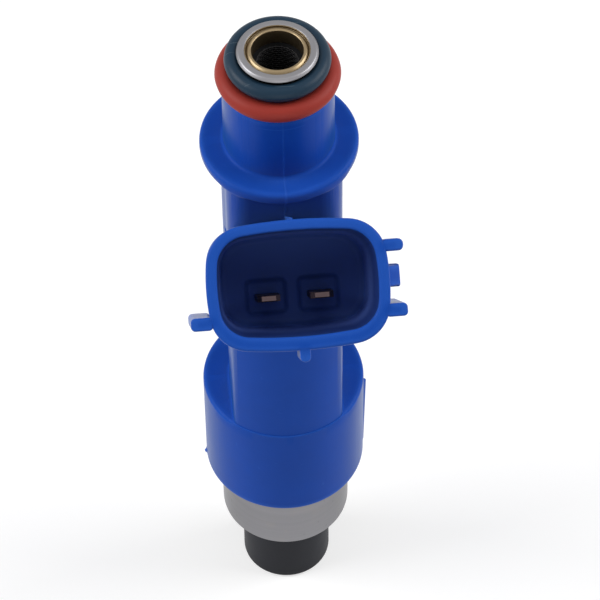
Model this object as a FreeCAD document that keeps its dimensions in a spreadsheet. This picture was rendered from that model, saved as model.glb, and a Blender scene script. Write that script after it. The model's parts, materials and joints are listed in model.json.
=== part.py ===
"""Top-feed petrol fuel injector with an angled two-way connector.

The origin lies on the injector's axis, halfway along the seal land of the steel spigot.
+Z runs up to the fuel inlet, and the connector faces -Y. All sizes are in millimetres.
"""
import FreeCAD, Part
import math
import os
import re

import Sketcher
from FreeCAD import Placement, Rotation, Vector

# Driving sizes: name, value, what it is.
SIZES = [
    # Steel spigot and overmoulded skirt
    ("spigot_radius", 7.15, "steel housing where it enters the manifold"),
    ("spigot_length", 9.35, "seal land between skirt and nozzle cap, half on each side of z = 0"),
    ("spigot_edge", 0.35, "rounding of the housing's lower edge"),
    ("housing_swell", 0.4, "housing under the skirt, beyond the spigot's surface"),
    ("skirt_radius", 8.9, "moulded skirt around the coil housing"),
    ("skirt_height", 13.75, "skirt from its lower edge to the ledge"),
    ("skirt_edge", 0.3, "rounding of the ledge's outer edge"),
    ("roof_thickness", 1.5, "resin over the top of the coil housing"),
    # Trunk, flange and neck
    ("trunk_radius", 6.15, "moulded trunk above the ledge"),
    ("flange_radius", 8.1, "stop flange under the fuel rail"),
    ("flange_thickness", 1.7, "stop flange"),
    ("flange_edge", 0.8, "rounding of the flange's rim, as far as its thickness allows"),
    ("flange_level", 57.7, "middle of the flange above the origin"),
    ("neck_radius", 5.7, "moulded neck above the flange"),
    ("neck_height", 9.44, "middle of the flange to the step under the spacer ring"),
    ("collar_radius", 4.3, "moulded collar inside the spacer ring"),
    ("collar_height", 2.2, "collar above the step"),
    # Inlet tube and its rings
    ("tube_radius", 3.67, "outside of the steel inlet tube"),
    ("tube_wall", 0.39, "wall of the inlet tube"),
    ("lip_radius", 4.1, "rolled lip at the mouth of the tube"),
    ("lip_thickness", 0.6, "rolled lip"),
    ("lip_edge", 0.35, "rounding of the lip's rim"),
    ("lip_gap", 0.03, "lip above the upper O-ring"),
    ("o_ring_section", 1.66, "upper O-ring's cord diameter"),
    ("spacer_section", 2.0, "spacer ring's cord diameter"),
    # Inlet filter
    ("filter_ring_inset", 0.05, "brass ring below the lip's face"),
    ("filter_ring_height", 1.9, "brass ring"),
    ("filter_ring_bore", 2.59, "radius of the hole in the brass ring"),
    ("filter_ring_chamfer", 0.3, "lead-in at the mouth of the brass ring"),
    ("filter_bore", 2.2, "inside radius of the filter frame"),
    ("filter_rib_inset", 0.1, "ribs of the filter frame, outside its bore"),
    ("filter_rib_depth", 0.4, "ribs of the filter frame, outwards"),
    ("filter_rib_width", 0.7, "ribs of the filter frame, around"),
    ("filter_rib_count", 4, "ribs of the filter frame"),
    ("filter_shoulder", 1.0, "collar of the filter frame"),
    ("filter_length", 9.5, "filter frame below its collar"),
    ("filter_base", 0.8, "closed end of the filter frame"),
    ("filter_base_lip", 0.15, "closed end beyond the ribs"),
    ("filter_mesh_wall", 0.12, "woven filter sleeve"),
    # Connector
    ("connector_rise", 50, "connector's direction above the horizontal, in degrees"),
    ("rim_reach", 20.6, "axis to the middle of the connector's mouth"),
    ("rim_height", 60.1, "origin to the middle of the connector's mouth"),
    ("shroud_width", 18.0, "connector shroud across its widest"),
    ("shroud_height", 12.85, "connector shroud from bottom to top"),
    ("shroud_depth", 16.2, "connector shroud from mouth to back"),
    ("shroud_side_bow", 22, "radius of the shroud's bowed sides"),
    ("shroud_top_bow", 48, "radius of the shroud's bowed top and bottom"),
    ("shroud_corner", 3.9, "radius of the shroud's corners"),
    ("shroud_side_wall", 1.12, "shroud wall at the sides"),
    ("shroud_top_wall", 1.2, "shroud wall at top and bottom"),
    ("rim_edge", 0.3, "rounding of the mouth's edges"),
    ("socket_depth", 11, "mouth to the socket's floor"),
    ("socket_draft", 0.6, "how much each socket wall closes in at the floor"),
    ("well_depth", 1.4, "wells around the pins, below the floor"),
    ("well_width", 3.9, "wells around the pins, across"),
    ("well_height", 3.3, "wells around the pins, up and down"),
    ("well_wall", 1.4, "wall between the two wells"),
    ("pin_offset", -1.3, "pins above the middle of the socket"),
    ("pin_recess", 5, "pin tips below the mouth"),
    ("pin_width", 2.3, "contact pins, across"),
    ("pin_thickness", 0.64, "contact pins, through"),
    ("pin_bevel", 0.08, "bevel of the pin tips' flat faces"),
    ("pin_taper", 0.45, "bevel of the pin tips' narrow sides"),
    # Ribs outside the shroud
    ("rib_thickness", 1.3, "guide ribs beside the shroud"),
    ("rib_reach", 10.62, "guide ribs' tips from the middle of the shroud"),
    ("rib_offset", 3.15, "guide ribs above and below the middle"),
    ("rib_length", 12.5, "guide ribs from the mouth backwards"),
    ("stud_length", 2.2, "short guide stud at the upper right"),
    ("lug_setback", 3.2, "latch lug behind the mouth"),
    ("lug_length", 2.5, "latch lug along the shroud"),
    ("lug_height", 2.1, "latch lug up and down"),
    ("lug_reach", 10.3, "latch lug's tip from the middle of the shroud"),
    ("key_width", 1.3, "key under the mouth"),
    ("key_drop", 1.15, "key below the shroud"),
    ("key_length", 6, "key from the mouth backwards"),
    ("seam_width", 0.3, "seam rib on top of the shroud"),
    ("seam_rise", 0.25, "seam rib above the shroud"),
    ("seam_setback", 1.2, "seam rib behind the mouth"),
    # Column and arm that carry the shroud
    ("column_reach", 8.6, "radius of the column's front"),
    ("column_half_width", 5.93, "axis to each side of the column"),
    ("column_edge", 1.0, "rounding of the column's upright edges"),
    ("column_top", 50.5, "origin to the top of the column"),
    ("arm_low", 3.4, "arm's lower side below the connector's middle line"),
    ("arm_high", 5.8, "arm's upper side above the connector's middle line"),
    ("arm_length", 10, "arm from its start into the trunk"),
    ("arm_overlap", 0.2, "arm's start inside the shroud's back"),
    # Coil housing
    ("housing_wall", 0.95, "steel housing around the coil"),
    ("washer_thickness", 1.0, "flux washer closing the housing"),
    ("coil_length", 10.7, "room for the coil between washer and housing floor"),
    ("bobbin_gap", 0.05, "bobbin around the tube"),
    ("bobbin_hub", 0.7, "wall of the bobbin's hub"),
    ("bobbin_flange", 1.0, "bobbin's end flanges"),
    ("bobbin_clearance", 0.1, "bobbin inside the housing"),
    ("winding_radius", 5.75, "outside of the copper winding"),
    ("tape_thickness", 0.15, "insulating tape around the winding"),
    ("post_half_width", 3.2, "bobbin's terminal post, each side of the middle"),
    ("post_front", 5.3, "axis to the front of the terminal post"),
    ("post_depth", 1.0, "terminal post, front to back"),
    ("post_height", 3.2, "terminal post above the bobbin"),
    ("notch_gap", 0.1, "washer's notch around the terminal post"),
    ("foot_clearance", 0.4, "terminals above the top of the housing"),
    # Magnetic tube, core and adjuster
    ("core_face_height", 2.3, "coil's floor to the core's lower face"),
    ("sleeve_length", 3.0, "nonmagnetic sleeve across the working gap"),
    ("core_length", 20, "fixed core"),
    ("core_bore", 1.75, "radius of the core's bore"),
    ("adjuster_wall", 0.55, "spring adjuster tube"),
    ("adjuster_length", 8, "spring adjuster tube"),
    ("adjuster_slit", 0.5, "slit along the adjuster"),
    ("spring_length", 12.1, "return spring when the valve is closed"),
    ("spring_wire", 0.4, "return spring's wire diameter"),
    ("spring_coil_radius", 1.3, "return spring's mean radius"),
    ("spring_turns", 8, "return spring's turns"),
    ("spring_gap", 0.03, "spring's ends off their seats"),
    # Armature, needle and ball
    ("lift_gap", 0.1, "armature below the core when closed"),
    ("slide_gap", 0.05, "armature inside the tube, radially"),
    ("armature_length", 9, "armature"),
    ("armature_pocket", 2.5, "spring pocket in the armature"),
    ("port_radius", 0.45, "fuel ports through armature and needle"),
    ("port_count", 4, "fuel ports through the armature"),
    ("needle_port_drop", 1.35, "needle's fuel ports below the armature"),
    ("needle_radius", 1.4, "outside of the needle tube"),
    ("needle_wall", 0.5, "wall of the needle tube"),
    ("needle_overlap", 1.0, "needle's end above the ball's centre"),
    ("ball_radius", 2.0, "valve ball"),
    ("ball_flat", 1.85, "ball's centre to its fuel flats"),
    ("ball_flat_count", 5, "fuel flats around the ball"),
    ("guide_gap", 0.03, "ball inside its guide, radially"),
    ("seat_gap", 0.03, "closed ball above the cone"),
    # Nozzle
    ("seat_length", 4, "seat body"),
    ("sac_radius", 0.75, "sac under the ball"),
    ("sac_depth", 0.4, "sac under the ball"),
    ("plate_thickness", 0.25, "orifice plate"),
    ("hole_radius", 0.1, "spray holes"),
    ("hole_circle", 0.45, "spray holes from the axis"),
    ("hole_count", 8, "spray holes"),
    ("retainer_thickness", 0.5, "ring that holds the orifice plate"),
    ("retainer_bore", 2.1, "radius of the retainer's hole"),
    ("cap_radius", 4.95, "nozzle cap"),
    ("cap_length", 10.25, "nozzle cap below the housing"),
    ("cap_floor", 2.0, "nozzle cap below the valve tube"),
    ("cap_mouth", 2.6, "radius of the spray opening"),
    ("cap_flare", 0.9, "how much the spray opening widens"),
    ("cap_edge", 0.4, "rounding of the cap's lower edge"),
    ("cap_collar_radius", 4.5, "cap's collar inside the housing"),
    ("cap_collar_height", 2.9, "cap's collar inside the housing"),
    ("collar_gap", 0.05, "around and above the cap's collar"),
]
NAMES = {name for name, _, _ in SIZES}

# Heights and radii that follow from the driving sizes.
LAND_TOP = "(spigot_length / 2)"
LAND_BOTTOM = "(-spigot_length / 2)"
LEDGE = f"({LAND_TOP} + skirt_height)"
FLANGE_BOTTOM = "(flange_level - flange_thickness / 2)"
FLANGE_TOP = "(flange_level + flange_thickness / 2)"
NECK_TOP = "(flange_level + neck_height)"
COLLAR_TOP = f"({NECK_TOP} + collar_height)"
O_RING_TOP = f"({COLLAR_TOP} + o_ring_section)"
INLET_TOP = f"({O_RING_TOP} + lip_gap + lip_thickness)"
TUBE_BORE = "(tube_radius - tube_wall)"
FILTER_RING_BOTTOM = f"({INLET_TOP} - filter_ring_inset - filter_ring_height)"
FILTER_BASE_TOP = f"({FILTER_RING_BOTTOM} - filter_shoulder - filter_length + filter_base)"

HOUSING_TOP = f"({LEDGE} - roof_thickness)"
WASHER_BOTTOM = f"({HOUSING_TOP} - washer_thickness)"
COIL_FLOOR = f"({WASHER_BOTTOM} - coil_length)"
HOUSING_RADIUS = "(spigot_radius + housing_swell)"
CHAMBER_RADIUS = "(spigot_radius - housing_wall)"
BOBBIN_BORE = "(tube_radius + bobbin_gap)"
BOBBIN_RADIUS = f"({CHAMBER_RADIUS} - bobbin_clearance)"
WINDING_BORE = f"({BOBBIN_BORE} + bobbin_hub)"
WINDING_BOTTOM = f"({COIL_FLOOR} + bobbin_flange)"
WINDING_TOP = f"({WASHER_BOTTOM} - bobbin_flange)"

CORE_FACE = f"({COIL_FLOOR} + core_face_height)"
SLEEVE_BOTTOM = f"({CORE_FACE} - sleeve_length / 2)"
SLEEVE_TOP = f"({CORE_FACE} + sleeve_length / 2)"
ARMATURE_TOP = f"({CORE_FACE} - lift_gap)"
ARMATURE_BOTTOM = f"({ARMATURE_TOP} - armature_length)"
POCKET_FLOOR = f"({ARMATURE_TOP} - armature_pocket)"
ARMATURE_RADIUS = f"({TUBE_BORE} - slide_gap)"
ADJUSTER_BOTTOM = f"({POCKET_FLOOR} + spring_length)"
NEEDLE_BORE = "(needle_radius - needle_wall)"

CAP_BOTTOM = f"({LAND_BOTTOM} - cap_length)"
TUBE_END = f"({CAP_BOTTOM} + cap_floor)"
PLATE_BOTTOM = f"({TUBE_END} + retainer_thickness)"
SEAT_BOTTOM = f"({PLATE_BOTTOM} + plate_thickness)"
SEAT_TOP = f"({SEAT_BOTTOM} + seat_length)"
CONE_BOTTOM = f"({SEAT_BOTTOM} + sac_depth)"
GUIDE_RADIUS = "(ball_radius + guide_gap)"
CONE_TOP = f"({CONE_BOTTOM} + {GUIDE_RADIUS} - sac_radius)"
BALL_LEVEL = f"({CONE_BOTTOM} - sac_radius + ball_radius * sqrt(2) + seat_gap)"
COLLAR_RECESS_TOP = f"({LAND_BOTTOM} + cap_collar_height + collar_gap)"

PIN_PITCH = "(well_width + well_wall)"
TERMINAL_LINE = "(-post_front - pin_thickness / 2)"
TERMINAL_FOOT = f"({HOUSING_TOP} + foot_clearance)"

doc = FreeCAD.newDocument("FuelInjector")
sheet = doc.addObject("Spreadsheet::Sheet", "Sizes")
sub_parts = []


def fill_sheet():
    """Write each driving size to its own row, under its own alias."""
    for row, (name, value, note) in enumerate(SIZES, start=1):
        sheet.set(f"A{row}", name)
        sheet.set(f"B{row}", str(value))
        sheet.setAlias(f"B{row}", name)
        sheet.set(f"C{row}", note)
    doc.recompute()


def number(formula):
    """The present value of a formula of driving sizes."""
    return float(sheet.evalExpression(str(formula)))


def linked(formula):
    """The formula as an expression that reads the sheet."""
    return re.sub(r"[a-z_]+", lambda word: "Sizes." + word[0] if word[0] in NAMES else word[0],
                  str(formula))


def bind(item, **formulas):
    """Set properties of an object to formulas of driving sizes."""
    for name, formula in formulas.items():
        item.setExpression(name, linked(formula))


def keep(item, label):
    """Give an object its name as a finished sub-part."""
    item.Label = label
    sub_parts.append(item)
    return item


# ---------------------------------------------------------------- sketches and features


def new_body(name):
    return doc.addObject("PartDesign::Body", name + "_body")


def origin_plane(body, role):
    """The body's own XY, XZ or YZ plane."""
    return next(item for item in body.Origin.OriginFeatures if item.Role == role)


def new_sketch(body, name, role="XZ_Plane"):
    sketch = body.newObject("Sketcher::SketchObject", name)
    sketch.AttachmentSupport = [(origin_plane(body, role), "")]
    sketch.MapMode = "FlatFace"
    return sketch


def raise_sketch(sketch, level):
    """Lift a sketch on the XY plane to a level."""
    sketch.setExpression("AttachmentOffset.Base.z", linked(level))


def tilted_y(rise, depth):
    """Y of a point in the connector: rise above its middle line, depth behind its mouth."""
    return f"(-rim_reach + ({rise}) * sin(connector_rise) + ({depth}) * cos(connector_rise))"


def tilted_z(rise, depth):
    """Z of the same point."""
    return f"(rim_height + ({rise}) * cos(connector_rise) - ({depth}) * sin(connector_rise))"


def tilt_sketch(sketch, depth):
    """Lay a sketch across the connector, at a depth behind its mouth."""
    sketch.AttachmentOffset = Placement(Vector(), Rotation(Vector(1, 0, 0), 1))
    sketch.setExpression("AttachmentOffset.Rotation.Angle", linked("90 - connector_rise"))
    sketch.setExpression("AttachmentOffset.Base.y", linked(tilted_y(0, depth)))
    sketch.setExpression("AttachmentOffset.Base.z", linked(tilted_z(0, depth)))


def pin_point(sketch, geometry, end, across, up):
    """Fix one point of a sketch by its two distances from the sketch's origin."""
    for kind, formula in (("DistanceX", across), ("DistanceY", up)):
        index = sketch.addConstraint(
            Sketcher.Constraint(kind, -1, 1, geometry, end, number(formula)))
        sketch.setExpression(f"Constraints[{index}]", linked(formula))


def draw_polygon(sketch, corners):
    """Closed outline through corners given as (across, up) formulas."""
    points = [Vector(number(across), number(up), 0) for across, up in corners]
    first = sketch.GeometryCount
    count = len(corners)
    for index in range(count):
        sketch.addGeometry(Part.LineSegment(points[index], points[(index + 1) % count]))
    for index in range(count):
        following = (index + 1) % count
        sketch.addConstraint(
            Sketcher.Constraint("Coincident", first + index, 2, first + following, 1))
    for index, (across, up) in enumerate(corners):
        pin_point(sketch, first + index, 1, across, up)


def draw_rectangle(sketch, low_across, high_across, low_up, high_up):
    draw_polygon(sketch, [(low_across, low_up), (high_across, low_up),
                          (high_across, high_up), (low_across, high_up)])


def draw_circle(sketch, radius, across="0", up="0"):
    centre = Vector(number(across), number(up), 0)
    circle = sketch.addGeometry(Part.Circle(centre, Vector(0, 0, 1), number(radius)))
    index = sketch.addConstraint(Sketcher.Constraint("Radius", circle, number(radius)))
    sketch.setExpression(f"Constraints[{index}]", linked(radius))
    pin_point(sketch, circle, 3, across, up)


def draw_bowed_rectangle(sketch, width, height, side_bow, top_bow, corner):
    """Rectangle with gently bowed sides and round corners, centred on the sketch.

    Each formula gives a full width or height at the middle of a side, or a radius.
    The eight arcs run anticlockwise from the right-hand side and meet tangentially.
    """
    half_width, half_height = number(width) / 2, number(height) / 2
    side, top, round_off = number(side_bow), number(top_bow), number(corner)
    side_centre = Vector(half_width - side, 0, 0)
    top_centre = Vector(0, half_height - top, 0)
    # The corner's centre lies where two circles inside the bows cross.
    reach_side, reach_top = side - round_off, top - round_off
    between = side_centre.distanceToPoint(top_centre)
    along = (reach_side ** 2 - reach_top ** 2 + between ** 2) / (2 * between)
    away = math.sqrt(reach_side ** 2 - along ** 2)
    direction = (top_centre - side_centre) / between
    corner_centre = side_centre + direction * along + Vector(-direction.y, direction.x, 0) * away
    low = math.atan2(corner_centre.y, corner_centre.x - side_centre.x)
    high = math.atan2(corner_centre.y - top_centre.y, corner_centre.x)
    quarter = math.pi / 2

    spans = []
    for turn in range(4):
        flip_x = -1 if turn in (1, 2) else 1
        flip_y = -1 if turn in (2, 3) else 1
        bow_centre, bow_radius, bow_half = (
            (Vector(flip_x * side_centre.x, 0, 0), side, low) if turn % 2 == 0
            else (Vector(0, -top_centre.y * (turn - 2), 0), top, quarter - high))
        middle = turn * quarter
        spans.append((bow_centre, bow_radius, middle - bow_half, middle + bow_half))
        start = middle + bow_half
        end = middle + quarter - (low if turn % 2 else quarter - high)
        corner_x = corner_centre.x * (1 if turn in (0, 3) else -1)
        corner_y = corner_centre.y * (1 if turn in (0, 1) else -1)
        spans.append((Vector(corner_x, corner_y, 0), round_off, start, end))

    for centre, radius, start, end in spans:
        circle = Part.Circle(centre, Vector(0, 0, 1), radius)
        sketch.addGeometry(Part.ArcOfCircle(circle, start, end))
    for index in range(8):
        sketch.addConstraint(Sketcher.Constraint("Tangent", index, 2, (index + 1) % 8, 1))
    radii = [side_bow, corner, top_bow, corner] * 2
    for index, radius in enumerate(radii):
        constraint = sketch.addConstraint(
            Sketcher.Constraint("Radius", index, number(radius)))
        sketch.setExpression(f"Constraints[{constraint}]", linked(radius))
    side_offset = f"({width}) / 2 - ({side_bow})"
    top_offset = f"({height}) / 2 - ({top_bow})"
    pin_point(sketch, 0, 3, side_offset, "0")
    pin_point(sketch, 2, 3, "0", top_offset)
    pin_point(sketch, 4, 3, f"-({side_offset})", "0")
    pin_point(sketch, 6, 3, "0", f"-({top_offset})")


def turn_profile(body, name, corners, kind="PartDesign::Revolution"):
    """Revolve an outline of (radius, height) formulas about the Z axis, or cut it away."""
    sketch = new_sketch(body, name + "_outline")
    draw_polygon(sketch, corners)
    feature = body.newObject(kind, name)
    feature.Profile = sketch
    feature.ReferenceAxis = (sketch, ["V_Axis"])
    feature.Angle = 360
    doc.recompute()
    return feature


def turned(label, corners):
    """A body of revolution as a finished sub-part."""
    body = new_body(label)
    turn_profile(body, label + "_turning", corners)
    return keep(body, label)


def ring_section(inner, outer, bottom, top):
    """Outline of a plain ring."""
    return [(inner, bottom), (outer, bottom), (outer, top), (inner, top)]


def extrude(body, name, sketch, length, kind="PartDesign::Pad", backwards=False, centred=False):
    """Pad or pocket a sketch by a length."""
    feature = body.newObject(kind, name)
    feature.Profile = sketch
    bind(feature, Length=length)
    feature.Reversed = backwards
    if centred:
        feature.SideType = "Symmetric"
    doc.recompute()
    return feature


def repeat_about_axis(body, feature, count, sketch):
    """Repeat a feature evenly about the Z axis."""
    pattern = body.newObject("PartDesign::PolarPattern", feature.Name + "_pattern")
    pattern.Originals = [feature]
    pattern.Axis = (sketch, ["N_Axis"])
    pattern.Angle = 360
    bind(pattern, Occurrences=count)
    body.Tip = pattern
    doc.recompute()
    return pattern


def round_edges(body, name, radius, wanted, kind="PartDesign::Fillet"):
    """Fillet or chamfer the edges of the body's present shape that the test wants."""
    base = body.Tip
    names = [f"Edge{index}" for index, edge in enumerate(base.Shape.Edges, start=1)
             if wanted(edge)]
    feature = body.newObject(kind, name)
    feature.Base = (base, names)
    if kind == "PartDesign::Fillet":
        bind(feature, Radius=radius)
    else:
        bind(feature, Size=radius)
    doc.recompute()
    return feature


def is_circle_at(edge, radius, level):
    """Whether an edge is a circle about the Z axis of this radius at this level."""
    curve = edge.Curve
    return (isinstance(curve, Part.Circle)
            and abs(curve.Radius - number(radius)) < 1e-4
            and math.hypot(curve.Center.x, curve.Center.y) < 1e-4
            and abs(curve.Center.z - number(level)) < 1e-4)


def in_connector(point):
    """A point as distances across, above and behind the middle of the connector's mouth."""
    angle = math.radians(number("connector_rise"))
    along_y, along_z = point.y + number("rim_reach"), point.z - number("rim_height")
    rise = along_y * math.sin(angle) + along_z * math.cos(angle)
    depth = along_y * math.cos(angle) - along_z * math.sin(angle)
    return point.x, rise, depth


def is_in_mouth(edge):
    """Whether an edge lies in the plane of the connector's mouth."""
    return all(abs(in_connector(vertex.Point)[2]) < 1e-3 for vertex in edge.Vertexes)


# ---------------------------------------------------------------- inlet end


def make_inlet_tube():
    body = new_body("inlet_tube")
    turn_profile(body, "inlet_tube_turning", [
        (TUBE_BORE, SLEEVE_TOP), ("tube_radius", SLEEVE_TOP),
        ("tube_radius", f"{INLET_TOP} - lip_thickness"),
        ("lip_radius", f"{INLET_TOP} - lip_thickness"),
        ("lip_radius", INLET_TOP), (TUBE_BORE, INLET_TOP)])
    round_edges(body, "lip_rounding", "lip_edge",
                lambda edge: is_circle_at(edge, "lip_radius", INLET_TOP))
    keep(body, "inlet_tube")


def make_torus(label, inner_radius, section, bottom):
    """A round-section ring that sits on a shaft and on a step."""
    ring = doc.addObject("Part::Torus", label)
    bind(ring, Radius1=f"({inner_radius}) + ({section}) / 2", Radius2=f"({section}) / 2")
    ring.setExpression("Placement.Base.z", linked(f"({bottom}) + ({section}) / 2"))
    keep(ring, label)


def make_filter_ring():
    body = new_body("filter_ring")
    top = f"{INLET_TOP} - filter_ring_inset"
    turn_profile(body, "filter_ring_turning",
                 ring_section("filter_ring_bore", TUBE_BORE, FILTER_RING_BOTTOM, top))
    round_edges(body, "filter_ring_lead_in", "filter_ring_chamfer",
                lambda edge: is_circle_at(edge, "filter_ring_bore", top),
                kind="PartDesign::Chamfer")
    keep(body, "filter_ring")


def make_filter_frame():
    body = new_body("filter_frame")
    rib_start = "(filter_bore + filter_rib_inset)"
    rib_end = f"({rib_start} + filter_rib_depth)"
    bottom = f"({FILTER_BASE_TOP} - filter_base)"
    shoulder = f"({FILTER_RING_BOTTOM} - filter_shoulder)"
    turn_profile(body, "filter_frame_collar",
                 ring_section("filter_bore", TUBE_BORE, shoulder, FILTER_RING_BOTTOM))
    rib_sketch = new_sketch(body, "filter_rib_outline", "XY_Plane")
    raise_sketch(rib_sketch, bottom)
    draw_rectangle(rib_sketch, rib_start, rib_end,
                   "-filter_rib_width / 2", "filter_rib_width / 2")
    rib = extrude(body, "filter_rib", rib_sketch, f"{FILTER_RING_BOTTOM} - {bottom}")
    repeat_about_axis(body, rib, "filter_rib_count", rib_sketch)
    base_sketch = new_sketch(body, "filter_base_outline", "XY_Plane")
    raise_sketch(base_sketch, bottom)
    draw_circle(base_sketch, f"{rib_end} + filter_base_lip")
    extrude(body, "filter_base_disc", base_sketch, "filter_base")
    keep(body, "filter_frame")


# ---------------------------------------------------------------- moulded resin body


def make_resin_moulding():
    """The blue overmoulding, before the inserts are cut out of it."""
    body = new_body("resin_moulding")
    turn_profile(body, "outer_form", [
        ("0", LAND_TOP), ("skirt_radius", LAND_TOP),
        ("skirt_radius", LEDGE), ("trunk_radius", LEDGE),
        ("trunk_radius", FLANGE_BOTTOM), ("flange_radius", FLANGE_BOTTOM),
        ("flange_radius", FLANGE_TOP), ("neck_radius", FLANGE_TOP),
        ("neck_radius", NECK_TOP), ("collar_radius", NECK_TOP),
        ("collar_radius", COLLAR_TOP), ("0", COLLAR_TOP)])
    round_edges(body, "flange_rounding", "min(flange_edge; 0.48 * flange_thickness)",
                lambda edge: is_circle_at(edge, "flange_radius", FLANGE_TOP)
                or is_circle_at(edge, "flange_radius", FLANGE_BOTTOM))
    round_edges(body, "ledge_rounding", "skirt_edge",
                lambda edge: is_circle_at(edge, "skirt_radius", LEDGE))
    add_column(body)
    add_shroud(body)
    add_shroud_ribs(body)
    turn_profile(body, "insert_bore", [
        ("0", LAND_TOP), (HOUSING_RADIUS, LAND_TOP),
        (HOUSING_RADIUS, HOUSING_TOP), ("tube_radius", HOUSING_TOP),
        ("tube_radius", COLLAR_TOP), ("0", COLLAR_TOP)], kind="PartDesign::Groove")
    cut_socket(body)
    return body


def add_column(body):
    """The upright column in front of the trunk, flush with the skirt."""
    sketch = new_sketch(body, "column_outline", "XY_Plane")
    raise_sketch(sketch, f"{LEDGE} - skirt_edge")
    reach, half_width = number("column_reach"), number("column_half_width")
    side = -math.sqrt(reach ** 2 - half_width ** 2)
    left, right = Vector(-half_width, side, 0), Vector(half_width, side, 0)
    front = Vector(0, -reach, 0)
    sketch.addGeometry(Part.Arc(left, front, right))
    sketch.addGeometry(Part.LineSegment(right, Vector(half_width, 0, 0)))
    sketch.addGeometry(Part.LineSegment(Vector(half_width, 0, 0), Vector(-half_width, 0, 0)))
    sketch.addGeometry(Part.LineSegment(Vector(-half_width, 0, 0), left))
    ends = sorted((1, 2), key=lambda end: sketch.getPoint(0, end).x)
    sketch.addConstraint(Sketcher.Constraint("Coincident", 0, ends[1], 1, 1))
    sketch.addConstraint(Sketcher.Constraint("Coincident", 1, 2, 2, 1))
    sketch.addConstraint(Sketcher.Constraint("Coincident", 2, 2, 3, 1))
    sketch.addConstraint(Sketcher.Constraint("Coincident", 3, 2, 0, ends[0]))
    sketch.addConstraint(Sketcher.Constraint("Vertical", 1))
    sketch.addConstraint(Sketcher.Constraint("Vertical", 3))
    pin_point(sketch, 2, 1, "column_half_width", "0")
    pin_point(sketch, 2, 2, "-column_half_width", "0")
    pin_point(sketch, 0, 3, "0", "0")
    index = sketch.addConstraint(Sketcher.Constraint("Radius", 0, reach))
    sketch.setExpression(f"Constraints[{index}]", linked("column_reach"))
    extrude(body, "column", sketch, f"column_top - {LEDGE} + skirt_edge")

    def is_upright_corner(edge):
        start, end = edge.Vertexes[0].Point, edge.Vertexes[-1].Point
        upright = abs(start.x - end.x) < 1e-4 and abs(start.y - end.y) < 1e-4
        return (upright and abs(abs(start.x) - half_width) < 1e-3
                and abs(start.y - side) < 1e-3 and edge.Length > reach)

    round_edges(body, "column_rounding", "column_edge", is_upright_corner)


def add_shroud(body):
    """The connector's shroud and the arm behind it, both solid for now."""
    mouth = new_sketch(body, "shroud_outline", "XY_Plane")
    tilt_sketch(mouth, "0")
    draw_bowed_rectangle(mouth, "shroud_width", "shroud_height", "shroud_side_bow",
                         "shroud_top_bow", "shroud_corner")
    extrude(body, "shroud", mouth, "shroud_depth", backwards=True)
    round_edges(body, "rim_rounding", "rim_edge", is_in_mouth)
    arm = new_sketch(body, "arm_outline", "XY_Plane")
    tilt_sketch(arm, "shroud_depth - arm_overlap")
    draw_rectangle(arm, "-column_half_width", "column_half_width", "-arm_low", "arm_high")
    extrude(body, "arm", arm, "arm_length", backwards=True)


def add_shroud_ribs(body):
    """Guide ribs, latch lug, key and seam rib on the outside of the shroud."""
    inside = "(shroud_width / 2 - shroud_side_wall)"
    half_rib = "rib_thickness / 2"
    low_rib = new_sketch(body, "guide_rib_outline", "XY_Plane")
    tilt_sketch(low_rib, "0")
    for low, high in ((inside, "rib_reach"), ("-rib_reach", f"-{inside}")):
        draw_rectangle(low_rib, low, high, f"-rib_offset - {half_rib}",
                       f"-rib_offset + {half_rib}")
    extrude(body, "guide_ribs", low_rib, "rib_length", backwards=True)

    stud = new_sketch(body, "guide_stud_outline", "XY_Plane")
    tilt_sketch(stud, "0")
    draw_rectangle(stud, inside, "rib_reach", f"rib_offset - {half_rib}",
                   f"rib_offset + {half_rib}")
    extrude(body, "guide_stud", stud, "stud_length", backwards=True)

    lug = new_sketch(body, "latch_lug_outline", "XY_Plane")
    tilt_sketch(lug, "lug_setback")
    draw_rectangle(lug, inside, "lug_reach", "-lug_height / 2", "lug_height / 2")
    extrude(body, "latch_lug", lug, "lug_length", backwards=True)

    key = new_sketch(body, "key_outline", "XY_Plane")
    tilt_sketch(key, "0")
    draw_rectangle(key, "-key_width / 2", "key_width / 2",
                   "-shroud_height / 2 - key_drop", "-shroud_height / 2 + shroud_top_wall / 2")
    extrude(body, "key", key, "key_length", backwards=True)

    seam = new_sketch(body, "seam_outline", "XY_Plane")
    tilt_sketch(seam, "seam_setback")
    draw_rectangle(seam, "-seam_width / 2", "seam_width / 2",
                   "shroud_height / 2 - shroud_top_wall / 2", "shroud_height / 2 + seam_rise")
    extrude(body, "seam_rib", seam, "shroud_depth - seam_setback", backwards=True)


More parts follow.
